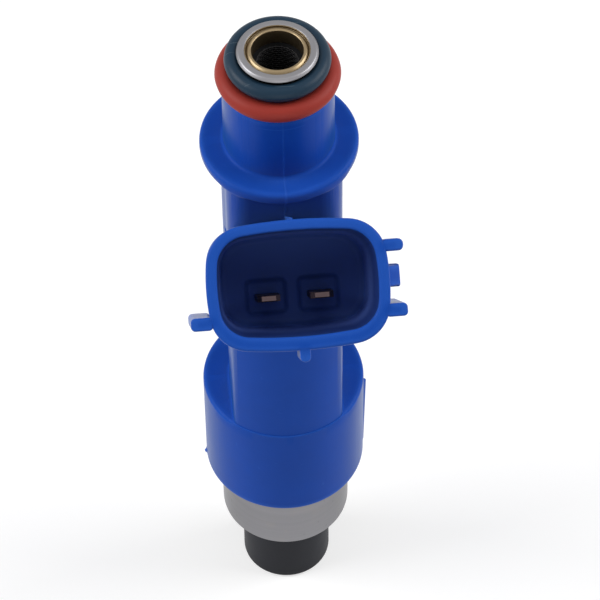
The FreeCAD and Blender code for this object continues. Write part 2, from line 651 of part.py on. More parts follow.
def cut_socket(body):
    """Hollow the shroud, sink a well around each pin and round the mouth."""
    loft_sketches = []
    for name, depth, draft in (("socket_mouth", "0", "0"),
                               ("socket_floor", "socket_depth", "socket_draft")):
        sketch = new_sketch(body, name, "XY_Plane")
        tilt_sketch(sketch, depth)
        draw_bowed_rectangle(
            sketch, f"shroud_width - 2 * shroud_side_wall - 2 * {draft}",
            f"shroud_height - 2 * shroud_top_wall - 2 * {draft}",
            "shroud_side_bow - shroud_side_wall", "shroud_top_bow - shroud_top_wall",
            f"shroud_corner - shroud_side_wall / 2 - {draft} / 2")
        loft_sketches.append(sketch)
    socket = body.newObject("PartDesign::SubtractiveLoft", "socket")
    socket.Profile = loft_sketches[0]
    socket.Sections = [loft_sketches[1]]
    socket.Ruled = True
    doc.recompute()

    wells = new_sketch(body, "well_outline", "XY_Plane")
    tilt_sketch(wells, "socket_depth")
    for low, high in (("well_wall / 2", "well_wall / 2 + well_width"),
                      ("-well_wall / 2 - well_width", "-well_wall / 2")):
        draw_rectangle(wells, low, high, "pin_offset - well_height / 2",
                       "pin_offset + well_height / 2")
    extrude(body, "pin_wells", wells, "well_depth", kind="PartDesign::Pocket")

    half_width = number("shroud_width / 2 - shroud_side_wall")
    half_height = number("shroud_height / 2 - shroud_top_wall")

    def is_in_socket_mouth(edge):
        places = [in_connector(vertex.Point) for vertex in edge.Vertexes]
        return is_in_mouth(edge) and all(
            abs(across) < half_width + 1e-3 and abs(rise) < half_height + 1e-3
            for across, rise, _ in places)

    round_edges(body, "mouth_rounding", "rim_edge", is_in_socket_mouth)


def make_resin_body(moulding, inserts):
    """The moulding as it lies around the terminals and the bobbin's post."""
    tools = doc.addObject("Part::Compound", "resin_inserts")
    tools.Links = inserts
    resin = doc.addObject("Part::Cut", "resin_body")
    resin.Base = moulding
    resin.Tool = tools
    doc.recompute()
    keep(resin, "resin_body")


def make_terminal(label, side):
    """A flat strip that stands against the bobbin's post and bends into the socket."""
    body = new_body(label)
    sketch = new_sketch(body, label + "_outline", "YZ_Plane")
    back = f"({TERMINAL_LINE} + pin_thickness / 2)"
    front = f"({TERMINAL_LINE} - pin_thickness / 2)"
    lower, upper = "(pin_offset - pin_thickness / 2)", "(pin_offset + pin_thickness / 2)"

    def bend(line, rise):
        depth = f"(({line} + rim_reach - {rise} * sin(connector_rise)) / cos(connector_rise))"
        return (line, tilted_z(rise, depth))

    bevel_depth = "pin_recess + 2 * pin_bevel"
    draw_polygon(sketch, [
        (back, TERMINAL_FOOT), bend(back, upper),
        (tilted_y(upper, bevel_depth), tilted_z(upper, bevel_depth)),
        (tilted_y(f"{upper} - pin_bevel", "pin_recess"),
         tilted_z(f"{upper} - pin_bevel", "pin_recess")),
        (tilted_y(f"{lower} + pin_bevel", "pin_recess"),
         tilted_z(f"{lower} + pin_bevel", "pin_recess")),
        (tilted_y(lower, bevel_depth), tilted_z(lower, bevel_depth)),
        bend(front, lower), (front, TERMINAL_FOOT)])
    sketch.setExpression("AttachmentOffset.Base.z", linked(f"{side} * {PIN_PITCH} / 2"))
    extrude(body, label + "_strip", sketch, "pin_width", centred=True)

    def is_side_of_tip(edge):
        ends = [in_connector(vertex.Point) for vertex in edge.Vertexes]
        return (all(abs(depth - number("pin_recess")) < 1e-3 for _, _, depth in ends)
                and abs(ends[0][0] - ends[-1][0]) < 1e-4)

    round_edges(body, label + "_tip", "pin_taper", is_side_of_tip, "PartDesign::Chamfer")
    return keep(body, label)


# ---------------------------------------------------------------- coil and housing


def make_coil_housing():
    body = new_body("coil_housing")
    turn_profile(body, "coil_housing_turning", [
        ("tube_radius", COIL_FLOOR), ("tube_radius", COLLAR_RECESS_TOP),
        ("cap_collar_radius + collar_gap", COLLAR_RECESS_TOP),
        ("cap_collar_radius + collar_gap", LAND_BOTTOM), ("spigot_radius", LAND_BOTTOM),
        ("spigot_radius", LAND_TOP), (HOUSING_RADIUS, LAND_TOP),
        (HOUSING_RADIUS, HOUSING_TOP), (CHAMBER_RADIUS, HOUSING_TOP),
        (CHAMBER_RADIUS, COIL_FLOOR)])
    round_edges(body, "spigot_rounding", "spigot_edge",
                lambda edge: is_circle_at(edge, "spigot_radius", LAND_BOTTOM))
    keep(body, "coil_housing")


def make_flux_washer():
    body = new_body("flux_washer")
    turn_profile(body, "flux_washer_turning",
                 ring_section("tube_radius", CHAMBER_RADIUS, WASHER_BOTTOM, HOUSING_TOP))
    notch = new_sketch(body, "washer_notch_outline", "XY_Plane")
    raise_sketch(notch, HOUSING_TOP)
    draw_rectangle(notch, "-post_half_width - notch_gap", "post_half_width + notch_gap",
                   "-spigot_radius", "-post_front + post_depth + notch_gap")
    extrude(body, "washer_notch", notch, "washer_thickness", kind="PartDesign::Pocket")
    keep(body, "flux_washer")


def make_coil_bobbin():
    body = new_body("coil_bobbin")
    turn_profile(body, "coil_bobbin_turning", [
        (BOBBIN_BORE, COIL_FLOOR), (BOBBIN_RADIUS, COIL_FLOOR),
        (BOBBIN_RADIUS, WINDING_BOTTOM), (WINDING_BORE, WINDING_BOTTOM),
        (WINDING_BORE, WINDING_TOP), (BOBBIN_RADIUS, WINDING_TOP),
        (BOBBIN_RADIUS, WASHER_BOTTOM), (BOBBIN_BORE, WASHER_BOTTOM)])
    post = new_sketch(body, "terminal_post_outline", "XY_Plane")
    raise_sketch(post, WINDING_TOP)
    draw_rectangle(post, "-post_half_width", "post_half_width", "-post_front",
                   "-post_front + post_depth")
    extrude(body, "terminal_post", post, "bobbin_flange + post_height")
    return keep(body, "coil_bobbin")


# ---------------------------------------------------------------- core, spring and adjuster


def make_adjuster():
    body = new_body("adjuster_tube")
    top = f"{ADJUSTER_BOTTOM} + adjuster_length"
    turn_profile(body, "adjuster_turning",
                 ring_section("core_bore - adjuster_wall", "core_bore", ADJUSTER_BOTTOM, top))
    slit = new_sketch(body, "adjuster_slit_outline", "XY_Plane")
    raise_sketch(slit, top)
    draw_rectangle(slit, "-adjuster_slit / 2", "adjuster_slit / 2", "0", "2 * core_bore")
    extrude(body, "adjuster_slit_cut", slit, "adjuster_length", kind="PartDesign::Pocket")
    keep(body, "adjuster_tube")


def make_spring():
    """A round wire swept along a helix between the armature and the adjuster."""
    free_length = "(spring_length - 2 * spring_gap - spring_wire)"
    first_level = f"{POCKET_FLOOR} + spring_gap + spring_wire / 2"
    helix = doc.addObject("Part::Helix", "spring_helix")
    bind(helix, Pitch=f"{free_length} / spring_turns", Height=free_length,
         Radius="spring_coil_radius")
    helix.setExpression("Placement.Base.z", linked(first_level))
    wire = doc.addObject("Part::Circle", "spring_wire_section")
    bind(wire, Radius="spring_wire / 2")
    wire.Placement = Placement(Vector(), Rotation(Vector(1, 0, 0), 90))
    wire.setExpression("Placement.Base.x", linked("spring_coil_radius"))
    wire.setExpression("Placement.Base.z", linked(first_level))
    spring = doc.addObject("Part::Sweep", "return_spring")
    spring.Sections = [wire]
    spring.Spine = (helix, ["Edge1"])
    spring.Solid = True
    spring.Frenet = True
    doc.recompute()
    keep(spring, "return_spring")


# ---------------------------------------------------------------- moving valve


def make_armature():
    body = new_body("armature")
    turn_profile(body, "armature_turning", [
        ("needle_radius", ARMATURE_BOTTOM), (ARMATURE_RADIUS, ARMATURE_BOTTOM),
        (ARMATURE_RADIUS, ARMATURE_TOP), ("core_bore", ARMATURE_TOP),
        ("core_bore", POCKET_FLOOR), ("needle_radius", POCKET_FLOOR)])
    port = new_sketch(body, "armature_port_outline", "XY_Plane")
    raise_sketch(port, ARMATURE_TOP)
    draw_circle(port, "port_radius", across=f"(core_bore + {ARMATURE_RADIUS}) / 2")
    cut = extrude(body, "armature_port", port, "armature_length", kind="PartDesign::Pocket")
    repeat_about_axis(body, cut, "port_count", port)
    keep(body, "armature")


def make_ball():
    """A ball with flats that let fuel past its guide."""
    sphere = doc.addObject("Part::Sphere", "ball_sphere")
    bind(sphere, Radius="ball_radius")
    flats = doc.addObject("Part::Prism", "ball_flats")
    bind(flats, Polygon="ball_flat_count", Circumradius="ball_flat / cos(180 / ball_flat_count)",
         Height="2 * ball_radius")
    flats.setExpression("Placement.Base.z", linked(f"{BALL_LEVEL} - ball_radius"))
    sphere.setExpression("Placement.Base.z", linked(BALL_LEVEL))
    ball = doc.addObject("Part::Common", "valve_ball")
    ball.Base = sphere
    ball.Tool = flats
    doc.recompute()
    keep(ball, "valve_ball")
    return sphere


def make_needle(sphere):
    """A tube pressed into the armature, its lower end shaped to the ball."""
    body = new_body("needle_tube")
    turn_profile(body, "needle_turning",
                 ring_section(NEEDLE_BORE, "needle_radius", f"{BALL_LEVEL} + needle_overlap",
                              POCKET_FLOOR))
    port = new_sketch(body, "needle_port_outline", "XZ_Plane")
    draw_circle(port, "port_radius", up=f"{ARMATURE_BOTTOM} - needle_port_drop")
    extrude(body, "needle_port", port, "2 * (needle_radius + needle_wall)",
            kind="PartDesign::Pocket", centred=True)
    needle = doc.addObject("Part::Cut", "valve_needle")
    needle.Base = body
    needle.Tool = sphere
    doc.recompute()
    keep(needle, "valve_needle")


# ---------------------------------------------------------------- nozzle


def make_orifice_plate():
    body = new_body("orifice_plate")
    disc = new_sketch(body, "plate_outline", "XY_Plane")
    raise_sketch(disc, PLATE_BOTTOM)
    draw_circle(disc, TUBE_BORE)
    extrude(body, "plate_disc", disc, "plate_thickness")
    hole = new_sketch(body, "spray_hole_outline", "XY_Plane")
    raise_sketch(hole, SEAT_BOTTOM)
    draw_circle(hole, "hole_radius", across="hole_circle")
    cut = extrude(body, "spray_hole", hole, "plate_thickness", kind="PartDesign::Pocket")
    repeat_about_axis(body, cut, "hole_count", hole)
    keep(body, "orifice_plate")


def make_nozzle_cap():
    body = new_body("nozzle_cap")
    turn_profile(body, "nozzle_cap_turning", [
        ("cap_mouth + cap_flare", CAP_BOTTOM), ("cap_radius", CAP_BOTTOM),
        ("cap_radius", LAND_BOTTOM), ("cap_collar_radius", LAND_BOTTOM),
        ("cap_collar_radius", f"{LAND_BOTTOM} + cap_collar_height"),
        ("tube_radius", f"{LAND_BOTTOM} + cap_collar_height"), ("tube_radius", TUBE_END),
        ("cap_mouth", TUBE_END)])
    round_edges(body, "cap_rounding", "cap_edge",
                lambda edge: is_circle_at(edge, "cap_radius", CAP_BOTTOM))
    keep(body, "nozzle_cap")


# ---------------------------------------------------------------- assembly


def build():
    fill_sheet()
    make_inlet_tube()
    make_torus("inlet_o_ring", "tube_radius", "o_ring_section", COLLAR_TOP)
    make_torus("spacer_ring", "collar_radius", "spacer_section", NECK_TOP)
    make_filter_ring()
    make_filter_frame()
    turned("filter_mesh", ring_section("filter_bore - filter_mesh_wall", "filter_bore",
                                       FILTER_BASE_TOP, FILTER_RING_BOTTOM))

    make_coil_housing()
    make_flux_washer()
    bobbin = make_coil_bobbin()
    turned("coil_winding", ring_section(WINDING_BORE, "winding_radius", WINDING_BOTTOM,
                                        WINDING_TOP))
    turned("coil_tape", ring_section("winding_radius", "winding_radius + tape_thickness",
                                     WINDING_BOTTOM, WINDING_TOP))
    terminals = [make_terminal("terminal_left", -1), make_terminal("terminal_right", 1)]
    make_resin_body(make_resin_moulding(), terminals + [bobbin])

    turned("nonmagnetic_sleeve", ring_section(TUBE_BORE, "tube_radius", SLEEVE_BOTTOM,
                                              SLEEVE_TOP))
    turned("valve_tube", ring_section(TUBE_BORE, "tube_radius", TUBE_END, SLEEVE_BOTTOM))
    turned("fixed_core", ring_section("core_bore", TUBE_BORE, CORE_FACE,
                                      f"{CORE_FACE} + core_length"))
    make_adjuster()
    make_spring()

    make_armature()
    make_needle(make_ball())

    turned("seat_body", [
        ("sac_radius", SEAT_BOTTOM), (TUBE_BORE, SEAT_BOTTOM), (TUBE_BORE, SEAT_TOP),
        (GUIDE_RADIUS, SEAT_TOP), (GUIDE_RADIUS, CONE_TOP), ("sac_radius", CONE_BOTTOM)])
    make_orifice_plate()
    turned("plate_retainer", ring_section("retainer_bore", TUBE_BORE, TUBE_END, PLATE_BOTTOM))
    make_nozzle_cap()
    doc.recompute()


def check():
    """Stop if any object failed or any sub-part is not one valid solid."""
    for item in doc.Objects:
        if "Invalid" in item.State or "Error" in item.State:
            raise RuntimeError(f"{item.Label} failed: {item.State}")
    for item in sub_parts:
        shape = item.Shape
        if shape.isNull() or not shape.isValid() or len(shape.Solids) != 1:
            raise RuntimeError(f"{item.Label} is not one valid solid")


def export():
    os.makedirs("parts", exist_ok=True)
    for item in sub_parts:
        item.Shape.exportStep(f"parts/{item.Label}.step")
        print(f"{item.Label}: {item.Shape.Volume:.2f} mm3")


build()
check()
export()
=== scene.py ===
"""Studio scene of a top-feed petrol fuel injector with an angled two-way connector.

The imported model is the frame: the injector's axis is Z, the fuel inlet is at the top and the
connector faces -Y. Lengths in the dataclass fields are millimetres unless they say otherwise.
"""
import functools
import json
import logging
import math
from collections.abc import Callable, Sequence
from dataclasses import dataclass, field
from enum import Enum

import bmesh
import bpy
import numpy as np
from bpy.types import ID, Material, Node, NodeSocket, NodeTree, Object, World
from mathutils import Matrix, Vector


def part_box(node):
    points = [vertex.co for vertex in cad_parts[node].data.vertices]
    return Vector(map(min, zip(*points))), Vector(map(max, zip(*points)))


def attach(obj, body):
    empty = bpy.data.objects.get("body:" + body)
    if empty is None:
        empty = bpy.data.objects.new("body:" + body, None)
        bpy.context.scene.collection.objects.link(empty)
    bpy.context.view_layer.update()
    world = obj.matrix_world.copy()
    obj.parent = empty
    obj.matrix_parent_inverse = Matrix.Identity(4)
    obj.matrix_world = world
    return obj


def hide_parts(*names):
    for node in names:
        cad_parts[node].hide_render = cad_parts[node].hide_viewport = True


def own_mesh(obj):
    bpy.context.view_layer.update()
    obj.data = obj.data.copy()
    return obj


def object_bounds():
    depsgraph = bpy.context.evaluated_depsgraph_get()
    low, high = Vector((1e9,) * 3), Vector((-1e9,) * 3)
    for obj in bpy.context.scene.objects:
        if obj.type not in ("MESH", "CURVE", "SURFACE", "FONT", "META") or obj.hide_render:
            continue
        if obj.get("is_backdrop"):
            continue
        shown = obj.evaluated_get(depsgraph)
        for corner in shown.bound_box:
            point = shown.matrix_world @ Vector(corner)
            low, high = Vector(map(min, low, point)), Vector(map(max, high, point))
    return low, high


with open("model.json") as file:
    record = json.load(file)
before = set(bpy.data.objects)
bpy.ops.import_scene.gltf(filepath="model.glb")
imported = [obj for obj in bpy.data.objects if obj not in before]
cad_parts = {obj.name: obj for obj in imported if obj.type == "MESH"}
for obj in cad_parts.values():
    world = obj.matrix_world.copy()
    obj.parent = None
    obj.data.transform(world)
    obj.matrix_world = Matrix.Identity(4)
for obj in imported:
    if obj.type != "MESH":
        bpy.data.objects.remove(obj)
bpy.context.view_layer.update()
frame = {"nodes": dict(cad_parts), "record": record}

LOG = logging.getLogger("injector")
MM = 0.001
STILL_BODY = "injector"
CONNECTOR_MOUNT = "harness_socket"
ARC_STEPS = 4
SHARP_ANGLE = 40.0
WHITE = (1.0, 1.0, 1.0, 1.0)
Pair = tuple[float, float]
Triple = tuple[float, float, float]
Colour = Triple
Outline = list[Pair]
Corners = Sequence[Triple]
Rings = list[np.ndarray]
# Half width, half height, rounding, middle and depth of each rounded rectangle in a stack.
Layers = list[tuple[float, float, float, Pair, float]]


class Join(Enum):
    """Ways of combining two closed meshes."""

    UNION = "UNION"
    DIFFERENCE = "DIFFERENCE"


class Ray(Enum):
    """Rays of light that show the surround itself."""

    CAMERA = "Is Camera Ray"
    GLOSSY = "Is Glossy Ray"
    TRANSMISSION = "Is Transmission Ray"


# ------------------------------------------------------------------ measures of the frame


@functools.cache
def node_box(node: str) -> tuple[Vector, Vector]:
    """Opposite corners of a CAD node's box, in metres, measured once."""
    low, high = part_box(node)
    return Vector(low), Vector(high)


def node_radius(node: str) -> float:
    """Outer radius of a round CAD node about Z, in millimetres."""
    return node_box(node)[1].x / MM


def node_bottom(node: str) -> float:
    """Lowest level of a CAD node, in millimetres."""
    return node_box(node)[0].z / MM


def node_top(node: str) -> float:
    """Highest level of a CAD node, in millimetres."""
    return node_box(node)[1].z / MM


def node_span(node: str) -> Pair:
    """Lowest and highest level of a CAD node, in millimetres."""
    return node_bottom(node), node_top(node)


def mount(name: str) -> dict:
    """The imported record's mount of this name."""
    return next(item for item in frame["record"]["mounts"] if item["name"] == name)


# ------------------------------------------------------------------ mesh making


def rounded_path(corners: Corners) -> Outline:
    """Closed path through corners, each replaced by an arc.

    Args:
        corners: (x, y, rounding) of each corner; a rounding of 0 keeps one sharp point.

    Returns:
        The path's points; every corner gives the same number whatever its rounding is cut to.
    """
    points: Outline = []
    for index, (x, y, rounding) in enumerate(corners):
        if rounding <= 0:
            points.append((x, y))
            continue
        here = Vector((x, y))
        before = Vector(corners[index - 1][:2]) - here
        after = Vector(corners[(index + 1) % len(corners)][:2]) - here
        if min(before.length, after.length) < 1e-6:
            points.extend([(x, y)] * (ARC_STEPS + 1))
            continue
        turn = before.angle(after)
        reach = min(rounding / math.tan(turn / 2), 0.5 * before.length, 0.5 * after.length)
        radius = reach * math.tan(turn / 2)
        middle = here + (before.normalized() + after.normalized()).normalized() * (
            radius / math.sin(turn / 2))
        first = here + before.normalized() * reach - middle
        sweep = math.pi - turn
        if before.x * after.y - before.y * after.x > 0:
            sweep = -sweep
        for step in range(ARC_STEPS + 1):
            angle = sweep * step / ARC_STEPS
            cos, sin = math.cos(angle), math.sin(angle)
            points.append((middle.x + first.x * cos - first.y * sin,
                           middle.y + first.x * sin + first.y * cos))
    return points


def rounded_rectangle(half_width: float, half_height: float, rounding: float,
                      middle: Pair) -> Outline:
    """Closed outline of a rectangle with round corners."""
    x, y = middle
    return rounded_path([(x + across * half_width, y + up * half_height, max(rounding, 1e-3))
                         for across, up in ((1, -1), (1, 1), (-1, 1), (-1, -1))])


def quarter_turn(steps: int) -> list[Pair]:
    """Points round an edge of rounding 1: how far each lies inside the edge's two faces."""
    angles = [math.pi / 2 * step / steps for step in range(steps + 1)]
    return [(1 - math.sin(angle), 1 - math.cos(angle)) for angle in angles]


def new_object(name: str, data: ID) -> Object:
    """Object of its own data, linked to the scene."""
    item = bpy.data.objects.new(name, data)
    bpy.context.scene.collection.objects.link(item)
    return item


def tidy_mesh(item: Object, merge: float = 1e-7) -> None:
    """Merge doubled points, drop faces without area and turn the rest outwards."""
    work = bmesh.new()
    work.from_mesh(item.data)
    bmesh.ops.remove_doubles(work, verts=work.verts, dist=merge)
    bmesh.ops.dissolve_degenerate(work, edges=work.edges, dist=merge)
    bmesh.ops.recalc_face_normals(work, faces=work.faces)
    work.to_mesh(item.data)
    work.free()
    item.data.update()


def skin_rings(name: str, rings: Rings, closed_loop: bool = False) -> Object:
    """Closed skin over rings that all have the same number of points.

    Args:
        name: the object's name.
        rings: arrays of points in metres, each ring closed on itself.
        closed_loop: whether the last ring joins the first, as round a torus.

    Returns:
        The mesh object, its faces turned outwards.
    """
    count, around = len(rings), len(rings[0])
    faces = []
    for ring in range(count if closed_loop else count - 1):
        low, high = ring * around, ((ring + 1) % count) * around
        for step in range(around):
            following = (step + 1) % around
            faces.append([low + step, low + following, high + following, high + step])
    if not closed_loop:
        faces.append(list(range(around)))
        faces.append([(count - 1) * around + step for step in range(around)])
    mesh = bpy.data.meshes.new(name)
    mesh.from_pydata([tuple(point) for point in np.concatenate(rings)], [], faces)
    item = new_object(name, mesh)
    tidy_mesh(item)
    return item


def turn_outline(name: str, corners: Corners, around: int) -> Object:
    """Solid of revolution about Z from a closed outline of (radius, height, rounding)."""
    angles = np.linspace(0, 2 * math.pi, around, endpoint=False)
    rings = [np.column_stack([radius * np.cos(angles), radius * np.sin(angles),
                              np.full(around, height)]) * MM
             for radius, height in rounded_path(corners)]
    return skin_rings(name, rings, closed_loop=True)


def bake_modifiers(item: Object) -> Object:
    """Work an object's modifiers into its mesh and remove them."""
    graph = bpy.context.evaluated_depsgraph_get()
    graph.update()
    made = bpy.data.meshes.new_from_object(item.evaluated_get(graph))
    item.modifiers.clear()
    item.data = made
    made.name = item.name
    return item


def combine(target: Object, tools: Sequence[Object], join: Join) -> Object:
    """Add closed meshes to another or cut them from it, and remove the tools."""
    for tool in tools:
        modifier = target.modifiers.new(tool.name, "BOOLEAN")
        modifier.operation = join.value
        modifier.solver = "EXACT"
        modifier.object = tool
    bake_modifiers(target)
    for tool in tools:
        bpy.data.objects.remove(tool)
    tidy_mesh(target, merge=1e-6)
    return target


def smooth(item: Object) -> Object:
    """Shade smooth across gentle edges and keep large flat faces flat."""
    item.data.shade_smooth()
    item.data.set_sharp_from_angle(angle=math.radians(SHARP_ANGLE))
    weighted = item.modifiers.new("flat_faces", "WEIGHTED_NORMAL")
    weighted.keep_sharp = True
    return bake_modifiers(item)


# ------------------------------------------------------------------ node trees


def scalar(operation: str, swapped: bool = False) -> "Callable[..., Signal]":
    """Method that applies a scalar operation to a signal and, where it takes one, a value."""
    def apply(signal: "Signal", other: "Value" = None) -> "Signal":
        """Result of the operation."""
        first, second = (other, signal) if swapped else (signal, other)
        return signal.graph.math(operation, first, second)
    return apply


@dataclass(frozen=True, eq=False)
class Signal:
    """A node's output; sums and products of signals are written as plain arithmetic."""

    graph: "Graph"
    socket: NodeSocket

    __add__, __radd__ = scalar("ADD"), scalar("ADD", swapped=True)
    __sub__, __rsub__ = scalar("SUBTRACT"), scalar("SUBTRACT", swapped=True)
    __mul__, __rmul__ = scalar("MULTIPLY"), scalar("MULTIPLY", swapped=True)
    __truediv__, __rtruediv__ = scalar("DIVIDE"), scalar("DIVIDE", swapped=True)
    __mod__, __pow__, __abs__ = scalar("MODULO"), scalar("POWER"), scalar("ABSOLUTE")
    at_least, at_most, floor = scalar("MAXIMUM"), scalar("MINIMUM"), scalar("FLOOR")
    cosine, sine, root = scalar("COSINE"), scalar("SINE"), scalar("SQRT")


Value = Signal | float | int | bool | Sequence[float] | Material | None
Inputs = dict[str | int, Value]
FLOAT = "NodeSocketFloat"
WHOLE = "NodeSocketInt"
VECTOR = "NodeSocketVector"
GEOMETRY = "NodeSocketGeometry"
MATERIAL = "NodeSocketMaterial"


class Graph:
    """A node tree that is written one call at a time."""

    def __init__(self, tree: NodeTree) -> None:
        """Keep the tree that the calls add to."""
        self.tree = tree

    @classmethod
    def of(cls, owner: Material | World) -> "Graph":
        """Graph of a material or a world, empty at first."""
        owner.use_nodes = True
        owner.node_tree.nodes.clear()
        return cls(owner.node_tree)

    def node(self, kind: str, inputs: Inputs | None = None, **settings: object) -> Node:
        """Add a node.

        Args:
            kind: the node's type name.
            inputs: values or signals for its inputs, by name or number.
            **settings: the node's own properties.

        Returns:
            The new node.
        """
        made = self.tree.nodes.new(kind)
        for name, value in settings.items():
            setattr(made, name, value)
        for name, value in (inputs or {}).items():
            self.feed(made.inputs[name], value)
        return made

    def out(self, kind: str, inputs: Inputs | None = None, output: str | int = 0,
            **settings: object) -> Signal:
        """One output of a new node."""
        return Signal(self, self.node(kind, inputs, **settings).outputs[output])

    def signals(self, node: Node) -> dict[str, Signal]:
        """Every output of a node, by name."""
        return {socket.name: Signal(self, socket) for socket in node.outputs}

    def feed(self, socket: NodeSocket, value: Value) -> None:
        """Link a signal to an input, or set its plain value."""
        if isinstance(value, Signal):
            self.tree.links.new(value.socket, socket)
        elif value is not None:
            socket.default_value = value

    def close(self, end: Node, **results: Value) -> NodeTree:
        """Feed a group's outputs and give its tree."""
        for label, value in results.items():
            self.feed(end.inputs[label], value)
        return self.tree

    def math(self, operation: str, first: Value, second: Value = None) -> Signal:
        """Result of a scalar operation."""
        return self.out("ShaderNodeMath", {0: first, 1: second}, operation=operation)

    def vector(self, operation: str, first: Value, second: Value = None,
               output: str = "Vector") -> Signal:
        """Result of a vector operation."""
        return self.out("ShaderNodeVectorMath", {0: first, 1: second}, output,
                        operation=operation)

    def scaled(self, vector: Value, factor: Value) -> Signal:
        """Vector times a number."""
        return self.out("ShaderNodeVectorMath", {0: vector, "Scale": factor}, "Vector",
                        operation="SCALE")

    def place(self) -> Signal:
        """Object coordinates, in metres."""
        return self.out("ShaderNodeTexCoord", output="Object")

    def place_mm(self) -> Signal:
        """Object coordinates, in millimetres."""
        return self.scaled(self.place(), 1 / MM)

    def parts(self, vector: Value) -> list[Signal]:
        """X, Y and Z of a vector."""
        return list(self.signals(self.node("ShaderNodeSeparateXYZ", {0: vector})).values())

    def joined(self, *parts: Value) -> Signal:
        """Vector from its parts; one that is None stays 0."""
        return self.out("ShaderNodeCombineXYZ", dict(enumerate(parts)))

    def polar(self, radius: Signal, angle: Signal, height: Signal) -> Signal:
        """Point at an angle about Z."""
        return self.joined(radius * angle.cosine(), radius * angle.sine(), height)

    def blend(self, factor: Value, first: Value, second: Value) -> Signal:
        """Colour between two colours."""
        return self.out("ShaderNodeMix", {0: factor, 6: first, 7: second}, 2, data_type="RGBA")

    def band(self, value: Value, low: float, high: float, out_low: float = 0.0,
             out_high: float = 1.0) -> Signal:
        """Smooth step from one output to another while the value goes from low to high."""
        return self.out("ShaderNodeMapRange", {
            "Value": value, "From Min": low, "From Max": high, "To Min": out_low,
            "To Max": out_high}, "Result", interpolation_type="SMOOTHSTEP")

    def noise(self, place: Value, scale: Value, detail: float = 2.0,
              roughness: float = 0.5) -> Signal:
        """Value of a noise texture."""
        return self.out("ShaderNodeTexNoise", {
            "Vector": place, "Scale": scale, "Detail": detail, "Roughness": roughness}, "Fac")

    def row(self, count: Value) -> Signal:
        """Points joined by edges, still to be placed."""
        return self.out("GeometryNodeMeshLine", {"Count": count})

    def curve(self, mesh: Value) -> Signal:
        """Curve along a mesh's edges."""
        return self.out("GeometryNodeMeshToCurve", {"Mesh": mesh})

    def realized(self, geometry: Value) -> Signal:
        """Geometry with its instances made real."""
        return self.out("GeometryNodeRealizeInstances", {"Geometry": geometry})

    def circle(self, steps: Value, radius: Value) -> Signal:
        """Round curve about Z."""
        return self.out("GeometryNodeCurvePrimitiveCircle", {
            "Resolution": steps, "Radius": radius}, "Curve")

    def sweep(self, path: Value, section: Value, caps: bool = False) -> Signal:
        """Mesh of a section led along a curve."""
        return self.out("GeometryNodeCurveToMesh", {
            "Curve": path, "Profile Curve": section, "Fill Caps": caps})

    def moved(self, geometry: Value, **change: Value) -> Signal:
        """Geometry whose points get another Position, or an Offset."""
        return self.out("GeometryNodeSetPosition", {"Geometry": geometry, **change})


def make_tree(name: str, kind: str, inputs: dict[str, tuple[str, Value]],
              outputs: dict[str, str]) -> tuple[Graph, dict[str, Signal], Node]:
    """Node group with named sockets.

    Args:
        name: the group's name.
        kind: ShaderNodeTree or GeometryNodeTree.
        inputs: socket type and starting value of each input.
        outputs: socket type of each output.

    Returns:
        The graph, the signals of the group's inputs, and its output node.
    """
    tree = bpy.data.node_groups.new(name, kind)
    for label, (socket_type, value) in inputs.items():
        socket = tree.interface.new_socket(name=label, in_out="INPUT", socket_type=socket_type)
        if value is not None:
            socket.default_value = value
    for label, socket_type in outputs.items():
        tree.interface.new_socket(name=label, in_out="OUTPUT", socket_type=socket_type)
    graph = Graph(tree)
    return graph, graph.signals(graph.node("NodeGroupInput")), graph.node("NodeGroupOutput")


def finish_tree(graph: Graph, end: Node, geometry: Value, material: Value) -> NodeTree:
    """Smooth, plain and dressed geometry at a tree's end."""
    shaded = graph.out("GeometryNodeSetShadeSmooth", {"Geometry": geometry})
    return graph.close(end, Geometry=graph.out("GeometryNodeSetMaterial", {
        "Geometry": graph.realized(shaded), "Material": material}))


def grow(name: str, tree: NodeTree, values: dict[str, Value]) -> Object:
    """Plain mesh object from a geometry tree and its input values."""
    item = new_object(name, bpy.data.meshes.new(name))
    modifier = item.modifiers.new(name, "NODES")
    modifier.node_group = tree
    identifiers = {socket.name: socket.identifier for socket in tree.interface.items_tree
                   if socket.in_out == "INPUT"}
    for label, value in values.items():
        modifier[identifiers[label]] = value
    bake_modifiers(item)
    tidy_mesh(item)
    return item


# ------------------------------------------------------------------ surfaces


